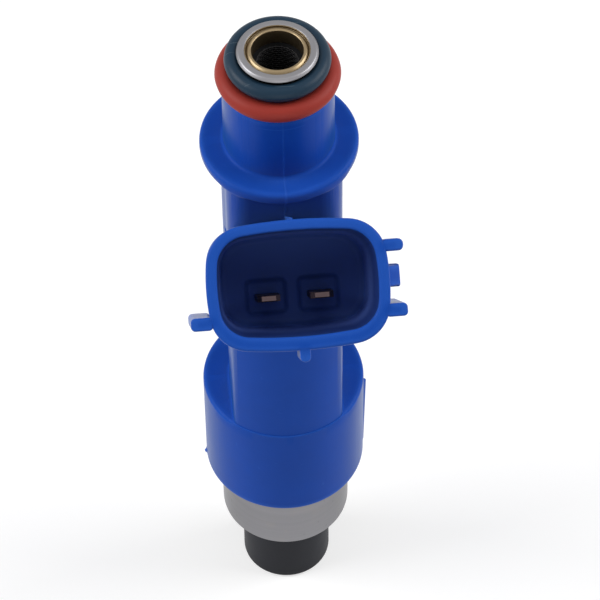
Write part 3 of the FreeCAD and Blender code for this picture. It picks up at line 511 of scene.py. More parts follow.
class Effects:
    """Shader node groups that several finishes share."""

    def __init__(self) -> None:
        """Build each group once."""
        self.moulding = self._moulding()
        self.turning = self._turning()
        self.edges = self._edges()
        self.marks = self._marks()

    @staticmethod
    def _moulding() -> NodeTree:
        """Slow tone drift and fine grain of a moulded surface."""
        graph, values, end = make_tree(
            "Moulded surface", "ShaderNodeTree",
            {"Grain size": (FLOAT, 0.12), "Drift size": (FLOAT, 5.0)},
            {"Tone": FLOAT, "Grain": FLOAT})
        place = graph.place_mm()
        return graph.close(
            end, Tone=graph.noise(place, 1.0 / values["Drift size"], detail=3.0, roughness=0.6),
            Grain=graph.noise(place, 1.0 / values["Grain size"], roughness=0.55))

    @staticmethod
    def _turning() -> NodeTree:
        """Fine rings that a lathe leaves around and across a round piece."""
        graph, values, end = make_tree(
            "Turning marks", "ShaderNodeTree", {"Pitch": (FLOAT, 0.12)},
            {"Height": FLOAT, "Streak": FLOAT})
        # Level and radius count together, so the rings run over walls and flat faces alike.
        level_share, streak_share, softness = 0.93, 0.12, 60.0
        place = graph.place()
        x, y, z = graph.parts(place)
        radius = graph.vector("LENGTH", graph.joined(x, y), output="Value")
        rings = (z * level_share + radius) * (1 / MM) / values["Pitch"]
        soft = graph.parts(graph.vector("MULTIPLY", place, (softness,) * 3))
        fine = graph.joined(soft[0], soft[1], rings)
        broad = graph.joined(None, None, rings * streak_share)
        return graph.close(end, Height=graph.noise(fine, 1.0, detail=3.0, roughness=0.65),
                           Streak=graph.noise(broad, 1.0))

    @staticmethod
    def _edges() -> NodeTree:
        """Masks of outer edges and of hollows, for a painted edge highlight and painted shade, and
        a normal that rounds small edges.
        """
        graph, values, end = make_tree(
            "Rounded edges", "ShaderNodeTree",
            {"Width": (FLOAT, 0.12), "Reach": (FLOAT, 0.9), "Hollow reach": (FLOAT, 4.0)},
            {"Edge": FLOAT, "Hollow": FLOAT, "Normal": VECTOR})
        inside = graph.out("ShaderNodeAmbientOcclusion", {"Distance": values["Reach"] * MM}, "AO",
                           samples=6, inside=True, only_local=True)
        outside = graph.out("ShaderNodeAmbientOcclusion",
                            {"Distance": values["Hollow reach"] * MM}, "AO", samples=6)
        bevel = graph.out("ShaderNodeBevel", {"Radius": values["Width"] * MM}, samples=4)
        # Each mask fades in as the share of free rays falls from the first number to the second.
        return graph.close(end, Edge=graph.band(inside, 0.96, 0.62),
                           Hollow=graph.band(outside, 0.7, 0.15), Normal=bevel)

    @staticmethod
    def _marks() -> NodeTree:
        """Sparse rubbed spots and short scratches from handling."""
        graph, values, end = make_tree(
            "Handling marks", "ShaderNodeTree",
            {"Spot size": (FLOAT, 1.6), "Amount": (FLOAT, 0.5)},
            {"Spots": FLOAT, "Scratches": FLOAT})
        unworn, full_wear, spot_fade, scratch_fade, rarer = 0.78, 0.16, 0.1, 0.05, 0.02
        place = graph.place()
        spots = graph.noise(place, (1 / MM) / values["Spot size"], detail=4.0, roughness=0.7)
        threshold = unworn - values["Amount"] * full_wear
        # Stretched unequally, the noise turns into short slanting lines.
        turned = graph.out("ShaderNodeMapping", {
            "Vector": place, "Rotation": (0.7, 0.5, 0.9), "Scale": (260.0, 4200.0, 900.0)})
        lines = graph.noise(turned, 1.0, detail=1.0, roughness=0.4)
        return graph.close(
            end, Spots=graph.band(spots - threshold, 0.0, spot_fade),
            Scratches=graph.band(lines - (threshold + rarer), 0.0, scratch_fade))


class Surface:
    """One material in the making: a Principled shader and the groups that feed it."""

    def __init__(self, name: str, **constants: object) -> None:
        """Start a material.

        Args:
            name: the material's name.
            **constants: plain values of the Principled shader, spaces written as underscores.
        """
        self.material = bpy.data.materials.new(name)
        self.graph = Graph.of(self.material)
        self.shader = self.graph.node("ShaderNodeBsdfPrincipled")
        self.graph.node("ShaderNodeOutputMaterial",
                        {"Surface": Signal(self.graph, self.shader.outputs[0])})
        for label, value in constants.items():
            self.feed(label.replace("_", " "), value)

    def group(self, tree: NodeTree, **inputs: Value) -> dict[str, Signal]:
        """Outputs of a shared group placed with its own values."""
        named = {label.replace("_", " "): value for label, value in inputs.items()}
        return self.graph.signals(self.graph.node("ShaderNodeGroup", named, node_tree=tree))

    def bump(self, height: Value, depth: float, normal: Value = None) -> Signal:
        """Normal from a height of 0 to 1, where 1 stands for a depth in millimetres."""
        return self.graph.out("ShaderNodeBump", {
            "Height": height, "Strength": 1.0, "Distance": depth * MM, "Normal": normal})

    def feed(self, label: str, value: Value) -> None:
        """Link or set one of the Principled shader's inputs."""
        self.graph.feed(self.shader.inputs[label], value)


def tint(colour: Colour, gain: float = 1.0) -> tuple[float, float, float, float]:
    """A colour made lighter or darker, with full alpha."""
    return (*(min(1.0, part * gain) for part in colour), 1.0)


# ------------------------------------------------------------------ finishes


@dataclass(frozen=True)
class Finish:
    """What every finish has: a colour, and a roughness that varies over the surface."""

    name: str
    colour: Colour
    roughness: float = 0.38
    rough_drift: float = 0.12

    def between(self, mask: Signal, low: float, high: float) -> Signal:
        """Colour that goes from one gain of the finish's colour to another with a mask."""
        return mask.graph.blend(mask, tint(self.colour, low), tint(self.colour, high))

    def varied(self, mask: Signal) -> Signal:
        """Roughness that drifts with a mask."""
        return self.roughness - self.rough_drift / 2 + mask * self.rough_drift


@dataclass(frozen=True)
class MouldedFinish(Finish):
    """Moulded plastic or rubber: grain, slow colour drift, scratches, a painted highlight on outer
    edges and painted shade in hollows.
    """

    specular: float = 0.2
    drift: float = 0.10
    painted_edge_light: float = 0.25
    edge_width: float = 0.12
    edge_reach: float = 0.9
    hollow_reach: float = 8.0
    hollow_shade: float = 0.75
    hollow_shade_colour: Colour = (0.07, 0.14, 0.33)
    grain_size: float = 0.12
    grain_depth: float = 0.004
    wear: float = 0.3
    wear_and_highlight_colour: Colour = (0.045, 0.17, 0.68)
    skin: float = 0.0
    skin_band: Pair = (0.5, 0.88)
    painted_grazing_fade: float = 0.0
    painted_grazing_colour: Colour = (0.014, 0.075, 0.27)
    coat_roughness: float = 0.22
    scratch_light: float = 0.35
    spot_roughness: float = 0.10

    def build(self, effects: Effects) -> Material:
        """Make the material."""
        surface = Surface(self.name, Specular_IOR_Level=self.specular,
                          Coat_Roughness=self.coat_roughness)
        graph = surface.graph
        body = surface.group(effects.moulding, Grain_size=self.grain_size)
        edges = surface.group(effects.edges, Width=self.edge_width, Reach=self.edge_reach,
                              Hollow_reach=self.hollow_reach)
        marks = surface.group(effects.marks, Amount=self.wear)
        base = self.between(body["Tone"], 1 - self.drift, 1 + self.drift)
        if self.skin:
            turned = graph.out("ShaderNodeLayerWeight", {"Blend": 0.5}, "Facing")
            surface.feed("Coat Weight", graph.band(turned, *self.skin_band, 0.0, self.skin))
            # Towards grazing angles the colour turns greyer and less blue: a painted reflection.
            base = graph.blend(graph.band(turned, *self.skin_band, 0.0, self.painted_grazing_fade), base,
                               tint(self.painted_grazing_colour))
        # Painted shade: hollows darken towards a dark colour.
        shaded = graph.blend(edges["Hollow"] * self.hollow_shade, base, tint(self.hollow_shade_colour))
        # Painted highlight: outer edges turn pale; scratches from handling turn pale too.
        edge_highlight_and_scratches = (edges["Edge"] * self.painted_edge_light).at_least(
            marks["Scratches"] * (self.scratch_light * self.wear))
        pale = tint(self.wear_and_highlight_colour)
        surface.feed("Base Color", self.add_lines_and_shade(graph.blend(edge_highlight_and_scratches, shaded, pale), pale))
        surface.feed("Roughness", self.varied(body["Tone"])
                     + marks["Spots"] * self.spot_roughness)
        surface.feed("Normal", surface.bump(body["Grain"], self.grain_depth, edges["Normal"]))
        return surface.material

    def add_lines_and_shade(self, colour: Signal, pale: Value) -> Signal:
        """Colour with the piece's own mould lines; a plain moulding has none."""
        return colour


@dataclass(frozen=True)
class PartedFinish(MouldedFinish):
    """Moulded plastic with a fine pale line where the mould's halves met, and shade painted inside
    its socket.
    """

    line_width: float = 0.07
    line_strength: float = 0.2
    witness_level: float = 65.9
    socket_half: Pair = (8.2, 5.58)
    socket_corner: float = 3.4
    socket_depth: float = 13.5
    painted_socket_wall: Colour = (0.018, 0.036, 0.16)
    painted_socket_deep: Colour = (0.11, 0.19, 0.58)
    painted_socket_floor: Colour = (0.06, 0.115, 0.36)
    socket_shade: float = 0.9
    deep_band: Pair = (3.0, 8.0)
    floor_band: Pair = (10.3, 10.9)
    line_waver: float = 0.12
    line_patches: Pair = (0.25, 1.0)
    line_away: Pair = (3.0, 4.0)
    line_front: Pair = (-9.3, -9.0)
    line_back: Pair = (0.0, 1.0)
    line_above: Pair = (50.0, 51.0)
    witness_edge: Pair = (0.09, 0.03)
    witness_ends: Pair = (2.6, 1.6)
    witness_front: Pair = (-4.6, -5.2)

    def add_lines_and_shade(self, colour: Signal, pale: Value) -> Signal:
        """Colour with the parting line, broken up as a real one is, and shade painted inside the
        socket.

        Args:
            colour: the moulding's colour.
            pale: the pale colour of scratches and of the painted edge highlight.

        Returns:
            The colour with both on it.
        """
        graph = colour.graph
        place = graph.place_mm()
        x, y, z = graph.parts(place)
        waver = (graph.noise(place, 0.5) - 0.5) * self.line_waver
        line = graph.band(abs(x + waver), self.line_width, 0.4 * self.line_width)
        broken = graph.band(graph.noise(place, 1.3, detail=3.0), 0.35, 0.6, *self.line_patches)
        outside = graph.band(abs(y), *self.line_away) * graph.band(y, *self.line_front)
        shown = graph.band(y, *self.line_back).at_least(graph.band(z, *self.line_above))
        mask = line * broken * (outside * shown * self.line_strength)
        # The slide that formed the neck left a short line just under its top.
        level = abs(z + waver - self.witness_level)
        witness = graph.band(level, *self.witness_edge) * (
            graph.band(abs(x), *self.witness_ends)
            * graph.band(y, *self.witness_front, 0.0, self.line_strength))
        lined = graph.blend(mask.at_least(witness), colour, pale)
        # Painted shade: inside the socket the colour is replaced, dark on the walls near the mouth,
        # lighter deeper in and on the floor.
        share, depth = self._socket_mask(graph)
        walls = graph.blend(graph.band(depth, *self.deep_band), tint(self.painted_socket_wall),
                            tint(self.painted_socket_deep))
        painted_socket = graph.blend(graph.band(depth, *self.floor_band), walls, tint(self.painted_socket_floor))
        return graph.blend(share, lined, painted_socket)

    def _socket_mask(self, graph: Graph) -> tuple[Signal, Signal]:
        """Share of the painted socket shade, full only inside the socket, and the depth behind its
        mouth.
        """
        connector = ConnectorFrame.stated()
        away = graph.vector("SUBTRACT", graph.place(), tuple(connector.middle))
        across, rise, depth = (
            graph.vector("DOT_PRODUCT", away, tuple(direction), output="Value") * (1 / MM)
            for direction in (Vector((1, 0, 0)), connector.upwards, -connector.outwards))
        corner, soft, fade = self.socket_corner, 0.1, 0.5
        beyond = [(abs(part) - (half - corner)).at_least(0.0) ** 2.0
                  for part, half in zip((across, rise), self.socket_half)]
        inside = graph.band((beyond[0] + beyond[1]).root(), corner + soft, corner - soft, 0.0,
                            self.socket_shade)
        within = graph.band(depth, soft, fade) * graph.band(depth, self.socket_depth,
                                                            self.socket_depth - fade)
        return inside * within, depth


@dataclass(frozen=True)
class TurnedFinish(Finish):
    """Turned or drawn metal: fine rings, broad streaks, slight stains, painted shine on edges and
    painted shade in hollows.
    """

    roughness: float = 0.32
    rough_drift: float = 0.16
    stain: float = 0.18
    stain_and_shade_colour: Colour = (0.30, 0.27, 0.24)
    pitch: float = 0.12
    line_depth: float = 0.0025
    edge_width: float = 0.08
    edge_reach: float = 0.35
    painted_edge_shine: float = 0.18
    hollow_reach: float = 7.0
    hollow_shade: float = 0.95
    hollow_tone: float = 0.12
    streak_gains: Pair = (0.86, 1.12)
    stain_band: Pair = (0.5, 0.8)
    shine_gain: float = 1.5
    scratch_roughness: float = 0.12
    wear: float = 0.5

    def build(self, effects: Effects) -> Material:
        """Make the material."""
        surface = Surface(self.name, Metallic=1.0)
        graph = surface.graph
        rings = surface.group(effects.turning, Pitch=self.pitch)
        edges = surface.group(effects.edges, Width=self.edge_width, Reach=self.edge_reach,
                              Hollow_reach=self.hollow_reach)
        marks = surface.group(effects.marks, Amount=self.wear)
        body = surface.group(effects.moulding, Grain_size=0.3, Drift_size=2.4)
        streaked = self.between(rings["Streak"], *self.streak_gains)
        stained = graph.blend(graph.band(body["Tone"], *self.stain_band) * self.stain, streaked,
                              tint(self.stain_and_shade_colour))
        # Painted shade: hollows darken towards a dim copy of the stain colour.
        shaded_in_hollows = graph.blend(edges["Hollow"] * self.hollow_shade, stained,
                            tint(self.stain_and_shade_colour, self.hollow_tone))
        # Painted shine: outer edges turn lighter than the metal.
        surface.feed("Base Color", graph.blend(edges["Edge"] * self.painted_edge_shine, shaded_in_hollows,
                                               tint(self.colour, self.shine_gain)))
        surface.feed("Roughness", self.varied(rings["Height"])
                     + marks["Scratches"] * self.scratch_roughness)
        surface.feed("Normal", surface.bump(rings["Height"], self.line_depth, edges["Normal"]))
        return surface.material


@dataclass(frozen=True)
class WovenFinish(Finish):
    """Fine monofilament: slightly glossy threads with a drift of tone."""

    roughness: float = 0.45
    rough_drift: float = 0.2
    metal: float = 0.0
    drift: float = 0.2
    grain_depth: float = 0.002

    def build(self, effects: Effects) -> Material:
        """Make the material."""
        surface = Surface(self.name, Metallic=self.metal)
        body = surface.group(effects.moulding, Grain_size=0.05, Drift_size=0.8)
        surface.feed("Base Color", self.between(body["Tone"], 1 - self.drift, 1 + self.drift))
        surface.feed("Roughness", self.varied(body["Grain"]))
        surface.feed("Normal", surface.bump(body["Grain"], self.grain_depth))
        return surface.material


RECIPES: dict[str, Finish] = {
    "blue_resin": PartedFinish("Blue resin", (0.009, 0.071, 0.43), roughness=0.36,
        specular=0.055, painted_edge_light=0.4, skin=0.2, painted_grazing_fade=0.6),
    "satin_steel": TurnedFinish("Satin steel", (0.238, 0.235, 0.248), roughness=0.42,
        painted_edge_shine=0.08),
    "machined_steel": TurnedFinish("Ground steel", (0.36, 0.36, 0.37), pitch=0.06),
    "polished_ball": TurnedFinish("Lapped steel", (0.75, 0.75, 0.76), roughness=0.14,
        stain=0.03, line_depth=0.0003),
    "spring_wire": WovenFinish("Spring wire", (0.4, 0.4, 0.41), roughness=0.35, metal=1.0),
    "teal_rubber": MouldedFinish("Teal rubber", (0.009, 0.031, 0.058), roughness=0.4,
        painted_edge_light=0.0, hollow_shade=0.3, wear=0.6, hollow_shade_colour=(0.01, 0.015, 0.02),
        wear_and_highlight_colour=(0.2, 0.26, 0.3)),
    "red_rubber": MouldedFinish("Red rubber", (0.34, 0.036, 0.025), roughness=0.5,
        painted_edge_light=0.0, hollow_shade=0.3, hollow_shade_colour=(0.06, 0.01, 0.01),
        wear_and_highlight_colour=(0.55, 0.2, 0.16)),
    "filter_brass": TurnedFinish("Filter brass", (0.262, 0.2, 0.119), roughness=0.36,
        stain_and_shade_colour=(0.16, 0.10, 0.05), hollow_reach=3.0, hollow_shade=0.9, hollow_tone=0.2),
    "filter_nylon": MouldedFinish("Filter nylon", (0.016, 0.018, 0.022), roughness=0.6,
        specular=0.05, painted_edge_light=0.0, hollow_shade_colour=(0.003, 0.003, 0.003),
        wear_and_highlight_colour=(0.05, 0.05, 0.05)),
    "filter_weave": WovenFinish("Filter weave", (0.006, 0.006, 0.008), roughness=0.6),
    "bobbin_nylon": MouldedFinish("Bobbin nylon", (0.05, 0.05, 0.055), roughness=0.5),
    "copper_wire": WovenFinish("Enamelled wire", (0.6, 0.26, 0.12), roughness=0.35, metal=1.0),
    "coil_tape": MouldedFinish("Coil tape", (0.55, 0.42, 0.12), roughness=0.35),
    # The copper is darkened to paint the shade inside the socket.
    "terminal_copper": TurnedFinish("Terminal copper in painted shade", (0.10, 0.07, 0.073), roughness=0.45,
        pitch=0.2),
    "black_plastic": MouldedFinish("Black plastic", (0.010, 0.011, 0.016), roughness=0.5,
        painted_edge_light=0.1, specular=0.14, hollow_shade_colour=(0.004, 0.004, 0.005),
        wear_and_highlight_colour=(0.12, 0.12, 0.13)),
}


class Finishes:
    """Every material of the injector, by the record's slot name."""

    def __init__(self) -> None:
        """Build all the finishes."""
        effects = Effects()
        self.materials = {slot: recipe.build(effects) for slot, recipe in RECIPES.items()}

    def __getitem__(self, slot: str) -> Material:
        """The finish of a slot."""
        return self.materials[slot]

    def dress(self, item: Object, slot: str, node: str) -> Object:
        """Give a finished piece its material and show it in place of a CAD node.

        Args:
            item: the piece, at the origin.
            slot: the record's material slot.
            node: the CAD node that it is shown in place of.

        Returns:
            The same piece.
        """
        item.data.materials.clear()
        item.data.materials.append(self[slot])
        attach(item, STILL_BODY)
        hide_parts(node)
        LOG.info("%s: %d faces", item.name, len(item.data.polygons))
        return item

    def turned(self, name: str, slot: str, node: str, around: int, corners: Corners) -> Object:
        """Finished solid of revolution in a CAD node's place."""
        return self.dress(smooth(turn_outline(name, corners, around)), slot, node)

    def grown(self, name: str, slot: str, node: str, tree: NodeTree,
              values: dict[str, Value]) -> Object:
        """Finished piece from a geometry tree, in a CAD node's place."""
        return self.dress(grow(name, tree, {**values, "Material": self[slot]}), slot, node)


# ------------------------------------------------------------------ moulded body


@dataclass(frozen=True)
class Ridge:
    """A thin line left by the mould: where its parts meet, or where resin crept between them."""

    angle: float
    height: float
    width: float
    low: float
    high: float
    rise: float = 0.4
    fall: float = 0.4

    def ends(self) -> list[float]:
        """Levels where the line starts, is full, starts to end and ends."""
        return [self.low, self.low + self.rise, self.high - self.fall, self.high]

    def raise_at(self, angle: np.ndarray, radius: np.ndarray, level: np.ndarray) -> np.ndarray:
        """How far the surface stands out, in millimetres, at each point."""
        away = (angle - self.angle + math.pi) % (2 * math.pi) - math.pi
        across = np.exp(-((away * radius / self.width) ** 2))
        along = np.clip((level - self.low) / self.rise, 0, 1) * np.clip(
            (self.high - level) / self.fall, 0, 1)
        return self.height * across * along


@dataclass
class ConnectorFrame:
    """Where the connector points: its mouth's middle and its direction."""

    middle: Vector
    outwards: Vector

    @classmethod
    def stated(cls) -> "ConnectorFrame":
        """The frame that the record's mount gives."""
        stated = mount(CONNECTOR_MOUNT)
        return cls(Vector(stated["pos_m"]), Vector(stated["axis"]).normalized())

    @property
    def upwards(self) -> Vector:
        """Direction across the connector that points away from the floor."""
        return Vector((0.0, self.outwards.z, -self.outwards.y))

    def place(self, across: float, rise: float, depth: float) -> Vector:
        """Point, in metres, from distances across, above and behind the mouth's middle."""
        return self.middle + (Vector((1, 0, 0)) * across + self.upwards * rise
                              - self.outwards * depth) * MM

    def ring(self, outline: Outline, depth: float) -> np.ndarray:
        """Ring of points, in metres, from an outline laid across the connector."""
        return np.array([self.place(across, rise, depth) for across, rise in outline])


@dataclass
class MouldedBody:
    """The blue overmoulding: skirt, trunk, flange, neck, column and connector shroud."""

    finishes: Finishes
    skirt_edge: float = 0.45
    skirt_foot_edge: float = 0.2
    line_height: float = 0.05
    ledge_level: float = 18.425
    trunk_radius: float = 6.2
    trunk_side: float = 5.95
    trunk_front: float = 6.45
    trunk_edge: float = 2.4
    flange_radius: float = 8.1
    flange_thickness: float = 1.4
    flange_level: float = 57.85
    flange_edge: float = 0.45
    neck_radius: float = 5.66
    neck_top: float = 67.14
    neck_edge: float = 0.45
    collar_radius: float = 4.3
    fillet: float = 0.4
    column_reach: float = 8.72
    column_half_width: float = 5.93
    column_edge: float = 1.0
    column_top: float = 46.0
    core_shift: float = 0.17
    shroud_width: float = 18.0
    shroud_height: float = 12.85
    shroud_depth: float = 16.2
    shroud_shift: float = 0.1
    outer_draft: float = 0.45
    side_bow: float = 22.0
    top_bow: float = 48.0
    corner: float = 3.9
    side_wall: float = 1.12
    top_wall: float = 1.05
    bottom_wall: float = 1.4
    socket_corner: float = 3.0
    rim_edge: float = 0.32
    mouth_edge: float = 0.26
    back_edge: float = 0.7
    socket_depth: float = 11.0
    socket_draft: float = 0.6
    floor_edge: float = 0.7
    well: Triple = (3.9, 3.3, 0.5)
    well_wall: float = 1.4
    pin_offset: float = -1.3
    arm: Triple = (5.85, -3.4, 5.8)
    rib_thickness: float = 1.3
    rib_rise: float = 3.15
    rib_length: float = 12.5
    stud_length: float = 2.4
    lug: tuple[float, float, float, float] = (10.3, -1.0, 1.25, 3.2)
    lug_length: float = 2.2
    lug_ramp: float = 1.6
    key: tuple[float, float, float, float] = (0.3, 0.52, 1.15, 6.0)
    seam_rib: Pair = (0.08, 0.14)
    arm_edge: float = 0.7
    arm_start: float = 1.2
    arm_end: float = 0.7
    well_edge: float = 0.45
    bar_front: float = 0.06
    bar_least_tip: float = 0.02
    stud_cut: float = 0.1
    lug_foot: float = 0.1
    lug_tip: float = 0.2
    key_root: float = 0.7
    seam_root: float = 0.8
    seam_ends: Pair = (1.2, 0.5)
    shoulder_edge: float = 0.3
    collar_edge: float = 0.15
    skirt_rows: int = 8
    row_gap: float = 0.02
    plain_rim: float = 0.3
    connector: ConnectorFrame = field(default_factory=ConnectorFrame.stated)

    def build(self) -> Object:
        """Make the body as one closed mesh and put it in the CAD body's place."""
        body = smooth(combine(self._tower(), [self._shroud()], Join.UNION))
        body.name = "moulded_body"
        return self.finishes.dress(body, "blue_resin", "resin_body")

    # The tower is one grid: a profile for each direction around the axis.

    def _directions(self) -> np.ndarray:
        """Angles around Z at which the tower is sampled, closer where its shape turns."""
        front = -90.0
        corner = math.degrees(math.asin(self.column_half_width / self.column_reach))
        # Middle and step of each closer stretch, in degrees, and its first and last step.
        stretches = [(0.0, 3.0, 0, 119)]
        for side in (-1, 1):
            stretches += [(front + side * corner, side * 0.9, -8, 6),
                          (front + side * 28.0, side * 1.5, 0, 21)]
        stretches += [(front, 0.35, -5, 5), (0.0, 0.6, -5, 5), (180.0, 0.6, -5, 5)]
        marks = [math.radians(middle + step * number) for middle, step, first, last in stretches
                 for number in range(first, last + 1)]
        turns = np.sort(np.mod(np.array(marks), 2 * math.pi))
        return turns[np.append(np.diff(turns) > math.radians(0.2), True)]

    def _column_radius(self, angle: float) -> float:
        """Distance from the axis to the column's surface in one direction, or to the stem's."""
        x, y = abs(math.cos(angle)), -math.sin(angle)
        side, edge = self.column_half_width, self.column_edge
        if y <= 0:
            return side
        side_centre = side - edge
        front_centre = math.sqrt((self.column_reach - edge) ** 2 - side_centre ** 2)
        turn = math.atan2(x, y)
        if turn <= math.atan2(side_centre, front_centre):
            return self.column_reach
        if turn >= math.atan2(side, front_centre):
            return side / x
        along = side_centre * x + front_centre * y
        return along + math.sqrt(along ** 2 - side_centre ** 2 - front_centre ** 2 + edge ** 2)

    def _trunk_radius_at(self, angle: float) -> float:
        """Distance from the axis to the trunk in one direction: round behind, flat in front."""
        x, y = abs(math.cos(angle)), -math.sin(angle)
        side, front, edge = self.trunk_side, self.trunk_front, self.trunk_edge
        along = (side - edge) * x + (front - edge) * y
        away = (side - edge) ** 2 + (front - edge) ** 2
        if y <= 0:
            reach = self.trunk_radius
        elif x * (front - edge) >= y * side:
            reach = side / x
        elif y * (side - edge) >= x * front:
            reach = front / y
        else:
            reach = along + math.sqrt(along ** 2 - away + edge ** 2)
        return max(self.trunk_radius, reach) + self.core_shift * math.cos(angle)

    def _profile(self, angle: float) -> Outline:
        """Closed outline of the tower in one direction, from the skirt's foot upwards."""
        skirt = self._skirt_radius
        inner = self._column_radius(angle)
        foot = node_bottom("resin_body")
        half = self.flange_thickness / 2
        trunk = self._trunk_radius_at(angle)
        corners = [(skirt, foot, self.skirt_foot_edge)]
        corners += [(skirt, level, 0.0) for level in self._skirt_levels()]
        corners += [
            (skirt, self.ledge_level, self.skirt_edge),
            (inner, self.ledge_level, self.fillet),
            (max(inner, trunk), self.column_top, self.shoulder_edge),
            (trunk, self.column_top, self.shoulder_edge),
            (trunk, self.flange_level - half, self.fillet),
            (self.flange_radius, self.flange_level - half, self.flange_edge),
            (self.flange_radius, self.flange_level + half, self.flange_edge),
            (self.neck_radius, self.flange_level + half, self.fillet),
            (self.neck_radius, self.neck_top, self.neck_edge),
            (self.collar_radius, self.neck_top, self.collar_edge),
            (self.collar_radius, node_top("resin_body"), self.collar_edge),
            (node_radius("valve_tube"), node_top("resin_body"), 0.0),
            (node_radius("valve_tube"), node_top("coil_housing"), 0.0),
            (self._housing_radius, node_top("coil_housing"), 0.0),
            (self._housing_radius, foot, 0.0)]
        return rounded_path(corners)

    @property
    def _skirt_radius(self) -> float:
        """Radius of the skirt: with its mould line it fills the CAD body's box."""
        return node_box("resin_body")[1].y / MM - self.line_height

    @property
    def _housing_radius(self) -> float:
        """Radius of the steel housing under the skirt."""
        return node_radius("coil_housing")

    def _skirt_levels(self) -> list[float]:
        """Levels of the points up the skirt's wall: evenly apart, and where a mould line ends."""
        foot = node_bottom("resin_body")
        levels = {foot + (self.ledge_level - foot) * row / self.skirt_rows
                  for row in range(1, self.skirt_rows)}
        levels.update(level for line in self._mould_lines() for level in line.ends())
        margin = self.skirt_edge + self.row_gap
        return sorted(level for level in levels
                      if foot + margin < level < self.ledge_level - margin)

    def _mould_lines(self) -> list[Ridge]:
        """Parting lines in front and behind, flash and a burr at the skirt's two sides."""
        foot = node_bottom("resin_body")
        parting = {"height": self.line_height, "width": 0.09, "high": self.neck_top - 0.6}
        return [
            Ridge(angle=-math.pi / 2, low=self.column_top, **parting),
            Ridge(angle=math.pi / 2, low=foot + 0.5, **parting),
            Ridge(angle=0.0, height=0.32, width=0.20, low=foot - 6, high=self.ledge_level - 2.4,
                  rise=17.0, fall=0.12),
            Ridge(angle=math.pi, height=0.25, width=0.25, low=foot - 0.5, high=foot + 0.5,
                  fall=0.3)]

    def _tower(self) -> Object:
        """Skirt, ledge, column, trunk, flange, neck and collar around the insert's bore."""
        angles = self._directions()
        outlines = np.array([self._profile(angle) for angle in angles])
        radius, level = outlines[:, :, 0].T, outlines[:, :, 1].T
        points = np.stack([radius * np.cos(angles), radius * np.sin(angles), level], axis=-1)
        along = np.roll(points, -1, axis=0) - np.roll(points, 1, axis=0)
        around = np.roll(points, -1, axis=1) - np.roll(points, 1, axis=1)
        normal = np.cross(around, along)
        normal /= np.maximum(np.linalg.norm(normal, axis=-1, keepdims=True), 1e-9)
        outer = radius > self.collar_radius + self.plain_rim
        lift = sum(line.raise_at(np.broadcast_to(angles, radius.shape), radius, level)
                   for line in self._mould_lines())
        points = points + normal * (lift * outer)[..., None]
        return skin_rings("tower", list(points * MM), closed_loop=True)

    # The shroud and everything on it are rings laid across the connector.

    def _bowed(self, width: float, height: float, side_bow: float, top_bow: float,
               corner: float) -> Outline:
        """Closed outline of a rectangle with bowed sides and round corners.

        Args:
            width: full width at the middle.
            height: full height at the middle.
            side_bow: radius of the left and right sides.
            top_bow: radius of the top and bottom.
            corner: radius of the corners.

        Returns:
            Points anticlockwise from the right-hand side.
        """
        side_centre = Vector((width / 2 - side_bow, 0.0))
        top_centre = Vector((0.0, height / 2 - top_bow))
        reach_side, reach_top = side_bow - corner, top_bow - corner
        between = (top_centre - side_centre).length
        along = (reach_side ** 2 - reach_top ** 2 + between ** 2) / (2 * between)
        away = math.sqrt(reach_side ** 2 - along ** 2)
        direction = (top_centre - side_centre) / between
        middle = side_centre + direction * along + Vector((-direction.y, direction.x)) * away
        low = math.atan2(middle.y, middle.x - side_centre.x)
        high = math.atan2(middle.y - top_centre.y, middle.x)
        quarter: Outline = []
        for centre, bow, start, end, steps in (
                (side_centre, side_bow, 0.0, low, 6), (middle, corner, low, high, 12),
                (top_centre, top_bow, high, math.pi / 2, 8)):
            for step in range(steps):
                angle = start + (end - start) * step / steps
                quarter.append((centre.x + bow * math.cos(angle),
                                centre.y + bow * math.sin(angle)))
        quarter.append((0.0, height / 2))
        left = [(-x, y) for x, y in reversed(quarter[:-1])]
        upper = quarter + left
        lower = [(x, -y) for x, y in reversed(upper[1:-1])]
        return upper + lower

    def _shroud_outline(self, inset: float) -> Outline:
        """The shroud's outside, moved inwards."""
        outline = self._bowed(self.shroud_width - 2 * inset, self.shroud_height - 2 * inset,
                              self.side_bow - inset, self.top_bow - inset, self.corner - inset)
        return [(x + self.shroud_shift, y) for x, y in outline]

    def _socket_outline(self, inset: float) -> Outline:
        """The socket's inside at its mouth, moved inwards."""
        walls = self.top_wall + self.bottom_wall
        outline = self._bowed(self.shroud_width - 2 * (self.side_wall + inset),
                              self.shroud_height - walls - 2 * inset,
                              self.side_bow - self.side_wall, self.top_bow - self.top_wall,
                              self.socket_corner - inset / 2)
        raised = (self.bottom_wall - self.top_wall) / 2
        return [(x + self.shroud_shift, y + raised) for x, y in outline]

    def _shroud(self) -> Object:
        """The hollow shroud with its ribs, lug, key, arm and pin wells."""
        turn = quarter_turn(5)
        back = [(far, near) for near, far in turn]
        # Outer back edge, rim outside, rim inside and the edge around the socket's floor.
        corners = (
            (self._shroud_outline, turn, self.outer_draft, self.back_edge,
             self.shroud_depth, -self.back_edge),
            (self._shroud_outline, back, 0.0, self.rim_edge, 0.0, self.rim_edge),
            (self._socket_outline, turn, 0.0, -self.mouth_edge, 0.0, self.mouth_edge),
            (self._socket_outline, back, self.socket_draft, self.floor_edge,
             self.socket_depth, -self.floor_edge))
        rings = [self.connector.ring(outline(inset + inwards * near), depth + deeper * far)
                 for outline, steps, inset, inwards, depth, deeper in corners
                 for near, far in steps]
        shroud = skin_rings("shroud", rings)
        combine(shroud, self._ribs() + [self._arm()], Join.UNION)
        return combine(shroud, self._wells(), Join.DIFFERENCE)

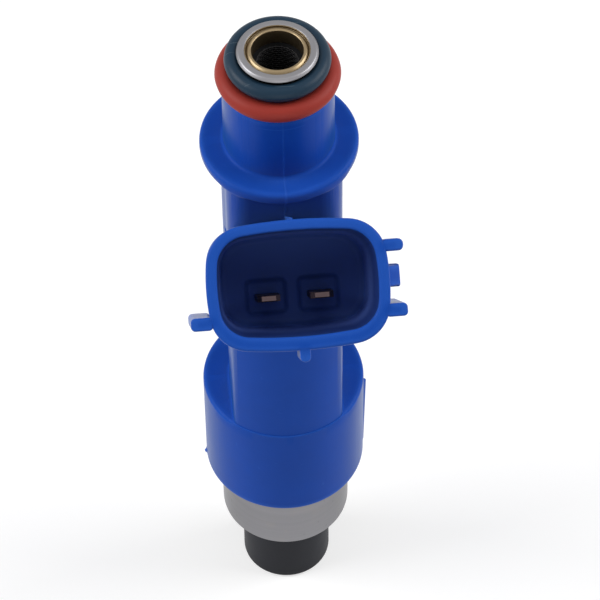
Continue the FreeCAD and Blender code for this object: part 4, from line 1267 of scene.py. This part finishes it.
    def _stack(self, name: str, layers: Layers) -> Object:
        """Closed solid through rounded rectangles laid across the connector."""
        return skin_rings(name, [self.connector.ring(rounded_rectangle(*sizes), depth)
                                 for *sizes, depth in layers])

    def _bar(self, name: str, across: Pair, rise: Pair, depth: Pair, tip: float,
             edge: float = 0.18) -> Object:
        """Rounded bar that runs along the shroud.

        Args:
            name: the bar's name.
            across: its two sides.
            rise: its lower and upper face.
            depth: its front and back end behind the mouth.
            tip: rounding of its long edges.
            edge: rounding of its ends.

        Returns:
            The closed bar.
        """
        middle = (sum(across) / 2, sum(rise) / 2)
        half_width, half_height = (across[1] - across[0]) / 2, (rise[1] - rise[0]) / 2
        turn = quarter_turn(3)
        ends = [(edge * near, depth[0] + edge * far) for near, far in turn]
        ends += [(edge * far, depth[1] - edge * near) for near, far in turn]
        return self._stack(name, [
            (half_width - inset, half_height - inset, max(tip - inset, self.bar_least_tip),
             middle, level) for inset, level in ends])

    def _ribs(self) -> list[Object]:
        """Guide ribs, stud, latch lug, key and seam rib outside the shroud."""
        inside = (self.shroud_width - self.side_wall) / 2
        reach = node_radius("resin_body")
        half, front = self.rib_thickness / 2, self.bar_front
        low = (-self.rib_rise - half, -self.rib_rise + half)
        high = (self.rib_rise - half + self.stud_cut, self.rib_rise + half)
        half_height = self.shroud_height / 2
        lug_reach, lug_low, lug_high, setback = self.lug
        key_middle, key_half, drop, key_length = self.key
        seam_half, seam_rise = self.seam_rib
        return [
            self._bar("rib_right", (inside, reach), low, (front, self.rib_length), tip=0.42),
            self._bar("rib_left", (-reach, -inside), low, (front, self.rib_length), tip=0.42),
            self._bar("stud", (inside, reach), high, (front, self.stud_length), tip=0.5,
                      edge=0.25),
            self._ramp(inside, lug_reach, (lug_low, lug_high), setback),
            self._bar("key", (key_middle - key_half, key_middle + key_half),
                      (-half_height - drop, -half_height + self.key_root),
                      (front, key_length), tip=0.46),
            self._bar("seam_rib", (-seam_half, seam_half),
                      (half_height - self.seam_root, half_height + seam_rise),
                      (self.seam_ends[0], self.shroud_depth - self.seam_ends[1]), tip=0.06,
                      edge=0.05)]

    def _ramp(self, inside: float, reach: float, rise: Pair, setback: float) -> Object:
        """Latch lug: a ramp on the shroud's side, with its steep face at the back.

        Args:
            inside: where it starts, within the shroud's wall.
            reach: how far out its top stands.
            rise: its lower and upper side.
            setback: how far behind the mouth the ramp ends.

        Returns:
            The closed lug.
        """
        middle, half = sum(rise) / 2, (rise[1] - rise[0]) / 2
        foot = inside + self.side_wall / 2 + self.lug_foot
        end, edge, slant = setback + self.lug_length, 0.15, 0.12
        steps = ((foot, slant, setback - self.lug_ramp), (reach, slant, setback),
                 (reach, 0.0, setback + edge), (reach, 0.0, end - edge),
                 (reach - edge, slant, end))
        return self._stack("lug", [
            ((out - inside) / 2, half - inset, self.lug_tip, ((inside + out) / 2, middle), depth)
            for out, inset, depth in steps])

    def _arm(self) -> Object:
        """The arm under the shroud, ending upright inside the trunk."""
        half_width, low, high = self.arm
        outline = rounded_rectangle(half_width, (high - low) / 2, self.arm_edge,
                                    (0.0, (high + low) / 2))
        start = self.connector.ring(outline, self.shroud_depth - self.arm_start)
        wall = -(node_radius("valve_tube") + self.arm_end) * MM
        outwards = np.array(self.connector.outwards)
        end = start + outwards * ((wall - start[:, 1]) / outwards[1])[:, None]
        return skin_rings("arm", [start, end])

    def _wells(self) -> list[Object]:
        """The two wells around the pins."""
        width, height, depth = self.well
        away = (self.well_wall + width) / 2
        # Inset and level of each step, from the socket's air down to the well's floor.
        steps = ((-0.35, -1.0), (-0.35, -0.001), (-0.16, 0.08), (0.0, depth / 2),
                 (0.14, depth - 0.06), (0.35, depth))
        return [self._stack(f"well_{side}", [
            (width / 2 - inset, height / 2 - inset, self.well_edge - inset,
             (side * away, self.pin_offset), self.socket_depth + level)
            for inset, level in steps]) for side in (-1, 1)]


# ------------------------------------------------------------------ inlet end


class SealRing:
    """A rubber ring made by sweeping a round section about the axis."""

    flash_sharpness = 12.0

    def __init__(self) -> None:
        """Build the sweep's node tree."""
        graph, values, end = make_tree(
            "Seal ring", "GeometryNodeTree",
            {"Ring radius": (FLOAT, 0.0045), "Section radius": (FLOAT, 0.0008),
             "Level": (FLOAT, 0.0), "Tilt": (FLOAT, 0.0), "Flash": (FLOAT, 0.00004),
             "Around": (WHOLE, 144), "Section steps": (WHOLE, 28), "Material": (MATERIAL, None)},
            {"Geometry": GEOMETRY})
        section = values["Section radius"]
        swept = graph.sweep(graph.circle(values["Around"], values["Ring radius"]),
                            graph.circle(values["Section steps"], section))
        # A thin flash line stands out where the mould halves met.
        _, y, z = graph.parts(graph.out("GeometryNodeInputPosition"))
        near = (1.0 - abs(z / section).at_most(1.0)) ** self.flash_sharpness
        lift = graph.scaled(graph.out("GeometryNodeInputNormal"), near * values["Flash"])
        raised = graph.moved(swept, Offset=lift)
        # The tilt is the rise at the back, in metres, so the ring's width stays as it is.
        rise = y * values["Tilt"] / values["Ring radius"]
        tilted = graph.moved(raised, Offset=graph.joined(None, None, rise + values["Level"]))
        self.tree = finish_tree(graph, end, tilted, values["Material"])

    def sizes(self, node: str, flash: float, tilt: float) -> dict[str, Value]:
        """Input values for a ring as large as a CAD node.

        Args:
            node: the round CAD node that gives its size and level.
            flash: height of its flash line in millimetres.
            tilt: how much higher it sits at the back, in millimetres.

        Returns:
            The tree's input values.
        """
        low, high = node_box(node)
        section = (high.z - low.z) / 2
        return {"Ring radius": high.x - section - flash * MM, "Section radius": section,
                "Level": (high.z + low.z) / 2, "Tilt": tilt * MM, "Flash": flash * MM}


@dataclass
class InletEnd:
    """Steel inlet tube with its rolled lip, the two rings and the brass filter ring."""

    finishes: Finishes
    lip_drop: float = 0.12
    lip_fall: float = 0.3
    lip_slope: float = 0.2
    lip_rim: float = 0.1
    bore_edge: float = 0.08
    ring_drop: float = 0.15
    ring_gap: float = 0.003
    rolled_radius: float = 2.86
    groove_depth: float = 0.36
    collar_thickness: float = 0.06
    upper_tilt: float = 0.1

    def build(self) -> None:
        """Make every piece of the inlet."""
        self._tube()
        self._brass_ring()
        rings = SealRing()
        for name, slot, node, flash, tilt in (
                ("upper_o_ring", "teal_rubber", "inlet_o_ring", 0.02, self.upper_tilt),
                ("lower_red_ring", "red_rubber", "spacer_ring", 0.03, 0.0)):
            self.finishes.grown(name, slot, node, rings.tree, rings.sizes(node, flash, tilt))

    def _tube(self) -> Object:
        """Inlet tube, its lip rolled outwards and down over the O-ring."""
        top, bottom = node_top("inlet_tube") - self.lip_drop, node_bottom("inlet_tube")
        lip = node_radius("inlet_tube")
        outer, bore = node_radius("valve_tube"), node_radius("filter_ring")
        shoulder = top - self.lip_fall
        under = shoulder - self.lip_rim
        return self.finishes.turned("fuel_inlet_tube", "satin_steel", "inlet_tube", 160, [
            (bore, bottom, 0.0), (outer, bottom, 0.0), (outer, under, 0.08), (lip, under, 0.05),
            (lip, shoulder, 0.05), (lip - self.lip_slope, top, 0.22),
            (bore, top, self.bore_edge)])

    def _brass_ring(self) -> Object:
        """Filter ring: an edge around the bore, sloping to a groove inside a thin collar."""
        top, bottom = node_top("inlet_tube") - self.ring_drop, node_bottom("filter_ring")
        outer = node_radius("filter_ring") - self.ring_gap
        bore = mount("fuel_inlet")["dims"]["r_mm"]
        floor, collar = top - self.groove_depth, outer - self.collar_thickness
        return self.finishes.turned("brass_filter_ring", "filter_brass", "filter_ring", 128, [
            (bore, bottom, 0.0), (outer, bottom, 0.0), (outer, top, 0.0), (collar, top, 0.02),
            (collar, floor, 0.05), (self.rolled_radius, top, 0.14), (bore, top, 0.14)])


# ------------------------------------------------------------------ pieces inside


class WireCoil:
    """Round wire along a helix: a spring with closed ends, or one or more wound layers."""

    def __init__(self) -> None:
        """Build the wire's node tree."""
        graph, values, end = make_tree(
            "Wire coil", "GeometryNodeTree",
            {"Bottom": (FLOAT, 0.0), "Height": (FLOAT, 0.01), "Radius": (FLOAT, 0.0013),
             "Wire radius": (FLOAT, 0.0002), "Turns": (FLOAT, 8.0), "Closed turns": (FLOAT, 1.0),
             "Layers": (WHOLE, 1), "Layer step": (FLOAT, 0.0), "Steps": (WHOLE, 400),
             "Section steps": (WHOLE, 10), "Material": (MATERIAL, None)},
            {"Geometry": GEOMETRY})
        steps, turns, layers = values["Steps"], values["Turns"], values["Layers"]
        path = graph.curve(graph.row(steps * layers + 1.0))
        along = graph.out("GeometryNodeInputIndex") / steps
        layer = along.floor().at_most(layers - 1.0)
        turn = (along - layer) * turns
        # Closed turns touch one another; the open ones between them share what is left.
        closed, wire = values["Closed turns"], values["Wire radius"]
        wide = wire * 2.0
        open_turns = turns - closed * 2.0
        top = values["Height"] - wide
        beyond = turn - closed
        passed = beyond.at_least(0.0).at_most(open_turns) / open_turns
        touching = turn.at_most(closed) + (beyond - open_turns).at_least(0.0)
        rise = passed * (top - closed * wide * 2.0) + touching * wide
        # Every second layer is wound back down.
        odd = layer % 2.0
        level = rise * (1.0 - odd) + (top - rise) * odd
        place = graph.polar(values["Radius"] + layer * values["Layer step"],
                            (turn + layer * turns) * (2 * math.pi),
                            values["Bottom"] + wire + level)
        coil = graph.sweep(graph.moved(path, Position=place),
                           graph.circle(values["Section steps"], wire), caps=True)
        self.tree = finish_tree(graph, end, coil, values["Material"])


class WovenSleeve:
    """Threads woven over and under one another around a cylinder."""

    sway = 1.6

    def __init__(self) -> None:
        """Build the weave's node tree."""
        graph, values, end = make_tree(
            "Woven sleeve", "GeometryNodeTree",
            {"Bottom": (FLOAT, 0.0), "Height": (FLOAT, 0.01), "Radius": (FLOAT, 0.0021),
             "Thread radius": (FLOAT, 0.00005), "Around": (WHOLE, 44), "Rings": (WHOLE, 32),
             "Section steps": (WHOLE, 5), "Material": (MATERIAL, None)},
            {"Geometry": GEOMETRY})
        both = graph.node("GeometryNodeJoinGeometry")
        section = graph.circle(values["Section steps"], values["Thread radius"])
        for hoops in (True, False):
            graph.feed(both.inputs[0], graph.sweep(
                self._threads(graph, values, hoops), section, caps=not hoops))
        self.tree = finish_tree(graph, end, Signal(graph, both.outputs[0]), values["Material"])

    def _threads(self, graph: Graph, values: dict[str, Signal], hoops: bool) -> Signal:
        """Curves of the hoops around the sleeve, or of the threads along it."""
        around, rings = values["Around"], values["Rings"]
        per_thread, threads = (around, rings) if hoops else (rings, around)
        curve = graph.curve(graph.row(per_thread))
        if hoops:
            curve = graph.out("GeometryNodeSetSplineCyclic", {"Geometry": curve, "Cyclic": True})
        copies = graph.out("GeometryNodeInstanceOnPoints", {
            "Points": graph.row(threads), "Instance": curve})
        index = graph.out("GeometryNodeInputIndex")
        within, thread = index % per_thread, (index / per_thread).floor()
        column, row = (within, thread) if hoops else (thread, within)
        lift = ((column + row) % 2.0 - 0.5) * (self.sway if hoops else -self.sway)
        return graph.moved(graph.realized(copies), Position=graph.polar(
            values["Radius"] + lift * values["Thread radius"],
            column / around * (2 * math.pi),
            values["Bottom"] + values["Height"] * (row / (rings - 1.0))))


@dataclass
class InnerPieces:
    """Closing spring, magnet winding and filter weave, hidden in the finished injector."""

    finishes: Finishes
    spring_wire: float = 0.4
    spring_turns: float = 9.0
    winding_wire: float = 0.29
    winding_layers: int = 3
    winding_spread: float = 1.01
    thread: float = 0.1
    weave_inset: float = 1.8

    def build(self) -> None:
        """Make the three pieces."""
        coil = WireCoil()
        self._spring(coil)
        self._winding(coil)
        self._weave()

    def _spring(self, coil: WireCoil) -> Object:
        """Closing spring, which shortens as the valve lifts; here it only gets a mesh of its own.
        """
        node = "return_spring"
        (bottom, top), wire = node_span(node), self.spring_wire / 2
        spring = self.finishes.grown("closing_spring", "spring_wire", node, coil.tree, {
            "Bottom": bottom * MM, "Height": (top - bottom) * MM,
            "Radius": (node_radius(node) - wire) * MM, "Wire radius": wire * MM,
            "Turns": self.spring_turns, "Closed turns": 1.0, "Steps": 432,
            "Section steps": 12})
        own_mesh(spring)
        return spring

    def _winding(self, coil: WireCoil) -> Object:
        """Enamelled wire wound in layers around the bobbin."""
        node, layers = "coil_winding", self.winding_layers
        (bottom, top), wire = node_span(node), self.winding_wire / 2
        inner = node_radius(node) - self.winding_wire * layers + wire
        turns = math.floor((top - bottom) / (self.winding_wire * self.winding_spread))
        return self.finishes.grown("magnet_winding", "copper_wire", node, coil.tree, {
            "Bottom": bottom * MM, "Height": (top - bottom) * MM, "Radius": inner * MM,
            "Wire radius": wire * MM, "Turns": float(turns), "Closed turns": 0.0,
            "Layers": layers, "Layer step": self.winding_wire * MM, "Steps": turns * 40,
            "Section steps": 6})

    def _weave(self) -> Object:
        """Woven filter sleeve on its nylon frame."""
        node, thread = "filter_mesh", self.thread / 2
        bottom, top = node_span(node)
        return self.finishes.grown("filter_sleeve", "filter_weave", node, WovenSleeve().tree, {
            "Bottom": (bottom + thread) * MM, "Height": (top - bottom - 2 * thread) * MM,
            "Radius": (node_radius(node) - self.weave_inset * thread) * MM,
            "Thread radius": thread * MM, "Around": 44, "Rings": 33})


# ------------------------------------------------------------------ nozzle end


@dataclass
class NozzleEnd:
    """The steel housing below the skirt and the black cap on the nozzle."""

    finishes: Finishes
    housing_edge: float = 0.38
    recess_wall: float = 0.88
    recess_gap: float = 0.05
    cap_edge: float = 0.4
    cap_wall: float = 0.83
    mouth: float = 2.6
    flare: float = 0.9

    def build(self) -> None:
        """Make both pieces."""
        self._housing()
        self._cap()

    def _housing(self) -> Object:
        """Steel housing: seal land, swell under the skirt and room for the coil."""
        bottom, top = node_span("coil_housing")
        swell, washer = node_radius("coil_housing"), node_radius("flux_washer")
        land, land_top = mount("manifold_spigot")["dims"]["r_mm"], node_bottom("resin_body")
        tube, floor = node_radius("valve_tube"), node_bottom("coil_bobbin")
        recess, recess_top = tube + self.recess_wall, node_top("nozzle_cap") + self.recess_gap
        return self.finishes.turned("spigot_housing", "satin_steel", "coil_housing", 160, [
            (tube, floor, 0.0), (tube, recess_top, 0.0), (recess, recess_top, 0.0),
            (recess, bottom, 0.12), (land, bottom, self.housing_edge), (land, land_top, 0.0),
            (swell, land_top, 0.0), (swell, top, 0.0), (washer, top, 0.0),
            (washer, floor, 0.3)])

    def _cap(self) -> Object:
        """Black cap with its flared spray opening."""
        bottom, top = node_span("nozzle_cap")
        radius, tube = node_radius("nozzle_cap"), node_radius("valve_tube")
        tube_end, land = node_bottom("valve_tube"), node_bottom("coil_housing")
        sleeve = tube + self.cap_wall
        return self.finishes.turned("nozzle_cover", "black_plastic", "nozzle_cap", 144, [
            (self.mouth + self.flare, bottom, 0.2), (radius, bottom, self.cap_edge),
            (radius, land, 0.12), (sleeve, land, 0.0), (sleeve, top, 0.2), (tube, top, 0.0),
            (tube, tube_end, 0.0), (self.mouth, tube_end, 0.15)])


# ------------------------------------------------------------------ studio


@dataclass(frozen=True)
class Lamp:
    """A large square lamp that faces the injector."""

    name: str
    place: Triple
    power: float
    size: float = 0.5
    aim: Triple = (0.0, 0.0, 0.03)

    def build(self) -> None:
        """Hang the lamp; its place and size are in metres, its power in watts."""
        data = bpy.data.lights.new(self.name, "AREA")
        data.size, data.energy = self.size, self.power
        lamp = new_object(self.name, data)
        lamp.location = self.place
        towards = Vector(self.aim) - Vector(self.place)
        lamp.rotation_euler = towards.to_track_quat("-Z", "Y").to_euler()


@dataclass
class Studio:
    """Pale floor, soft lamps, white surround and the camera."""

    lens: float = 210.0
    clip_start: float = 0.02
    camera_place: Triple = (-16.99, -230.214, 328.05)
    azimuth: float = 4.7
    elevation: float = 52.118
    roll: float = 0.70
    floor_half: float = 1.5
    paper: Colour = (0.62, 0.62, 0.62)
    floor_glow: float = 0.52
    surround_light: float = 0.20
    surround_shown: float = 0.80
    lamps: tuple[Lamp, ...] = (
        Lamp("left_lamp", (-0.66, 0.02, 0.47), 4.3), Lamp("right_lamp", (0.66, 0.02, 0.47), 4.0),
        Lamp("top_lamp", (0.0, 0.0, 0.87), 0.4), Lamp("front_lamp", (0.0, -0.76, 0.12), 0.95))

    def build(self) -> None:
        """Set up everything that isn't the object."""
        self._camera()
        self._floor()
        for lamp in self.lamps:
            lamp.build()
        self._world()
        bpy.context.scene.view_settings.view_transform = "Standard"

    def _camera(self) -> None:
        """Camera that looks down on the injector from in front of the connector."""
        turn, tilt, lean = map(math.radians, (self.azimuth, self.elevation, self.roll))
        forward = Vector((math.cos(tilt) * math.sin(turn), math.cos(tilt) * math.cos(turn),
                          -math.sin(tilt)))
        right = Vector((math.cos(turn), -math.sin(turn), 0.0))
        upwards = right.cross(forward)
        across = right * math.cos(lean) - upwards * math.sin(lean)
        above = right * math.sin(lean) + upwards * math.cos(lean)
        data = bpy.data.cameras.new("studio_camera")
        data.lens, data.clip_start = self.lens, self.clip_start
        camera = new_object("studio_camera", data)
        camera.matrix_world = Matrix.Translation(Vector(self.camera_place) * MM) @ Matrix(
            (across, above, -forward)).transposed().to_4x4()
        bpy.context.scene.camera = camera

    def _floor(self) -> None:
        """Pale floor under the nozzle that still takes a soft shadow."""
        level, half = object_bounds()[0].z, self.floor_half
        mesh = bpy.data.meshes.new("studio_floor")
        mesh.from_pydata([(-half, -half, level), (half, -half, level), (half, half, level),
                          (-half, half, level)], [], [(0, 1, 2, 3)])
        floor = new_object("studio_floor", mesh)
        material = bpy.data.materials.new("Floor paper")
        graph = Graph.of(material)
        paper = graph.out("ShaderNodeBsdfDiffuse", {"Color": tint(self.paper)})
        glow = graph.out("ShaderNodeEmission", {
            "Color": WHITE, "Strength": self._seen(graph) * self.floor_glow})
        both = graph.out("ShaderNodeAddShader", {0: paper, 1: glow})
        graph.node("ShaderNodeOutputMaterial", {"Surface": both})
        mesh.materials.append(material)
        floor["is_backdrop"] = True

    @staticmethod
    def _seen(graph: Graph) -> Signal:
        """1 for rays that show the surround or the floor, 0 for rays that only gather light."""
        kinds = graph.signals(graph.node("ShaderNodeLightPath"))
        return functools.reduce(Signal.at_least, [kinds[ray.value] for ray in Ray])

    def _world(self) -> None:
        """Surround that looks white and lights the object with a fifth of that."""
        world = bpy.data.worlds.new("studio_world")
        bpy.context.scene.world = world
        graph = Graph.of(world)
        strength = self.surround_light + self._seen(graph) * self.surround_shown
        graph.node("ShaderNodeOutputWorld", {"Surface": graph.out(
            "ShaderNodeBackground", {"Color": WHITE, "Strength": strength})})


def dress_cad_nodes(finishes: Finishes) -> None:
    """Give each CAD node that is still shown the finish of its slot."""
    slots = {part["node"]: part["material_slot"] for part in frame["record"]["subparts"]}
    for name, item in frame["nodes"].items():
        if not item.hide_render:
            for slot in item.material_slots:
                slot.material = finishes[slots[name]]
            LOG.info("%s: CAD node in %s", name, slots[name])


def main() -> None:
    """Build the injector and the studio around it."""
    logging.basicConfig(level=logging.INFO, format="%(message)s")
    finishes = Finishes()
    MouldedBody(finishes).build()
    InletEnd(finishes).build()
    NozzleEnd(finishes).build()
    InnerPieces(finishes).build()
    dress_cad_nodes(finishes)
    Studio().build()


if __name__ == "__main__":
    main()
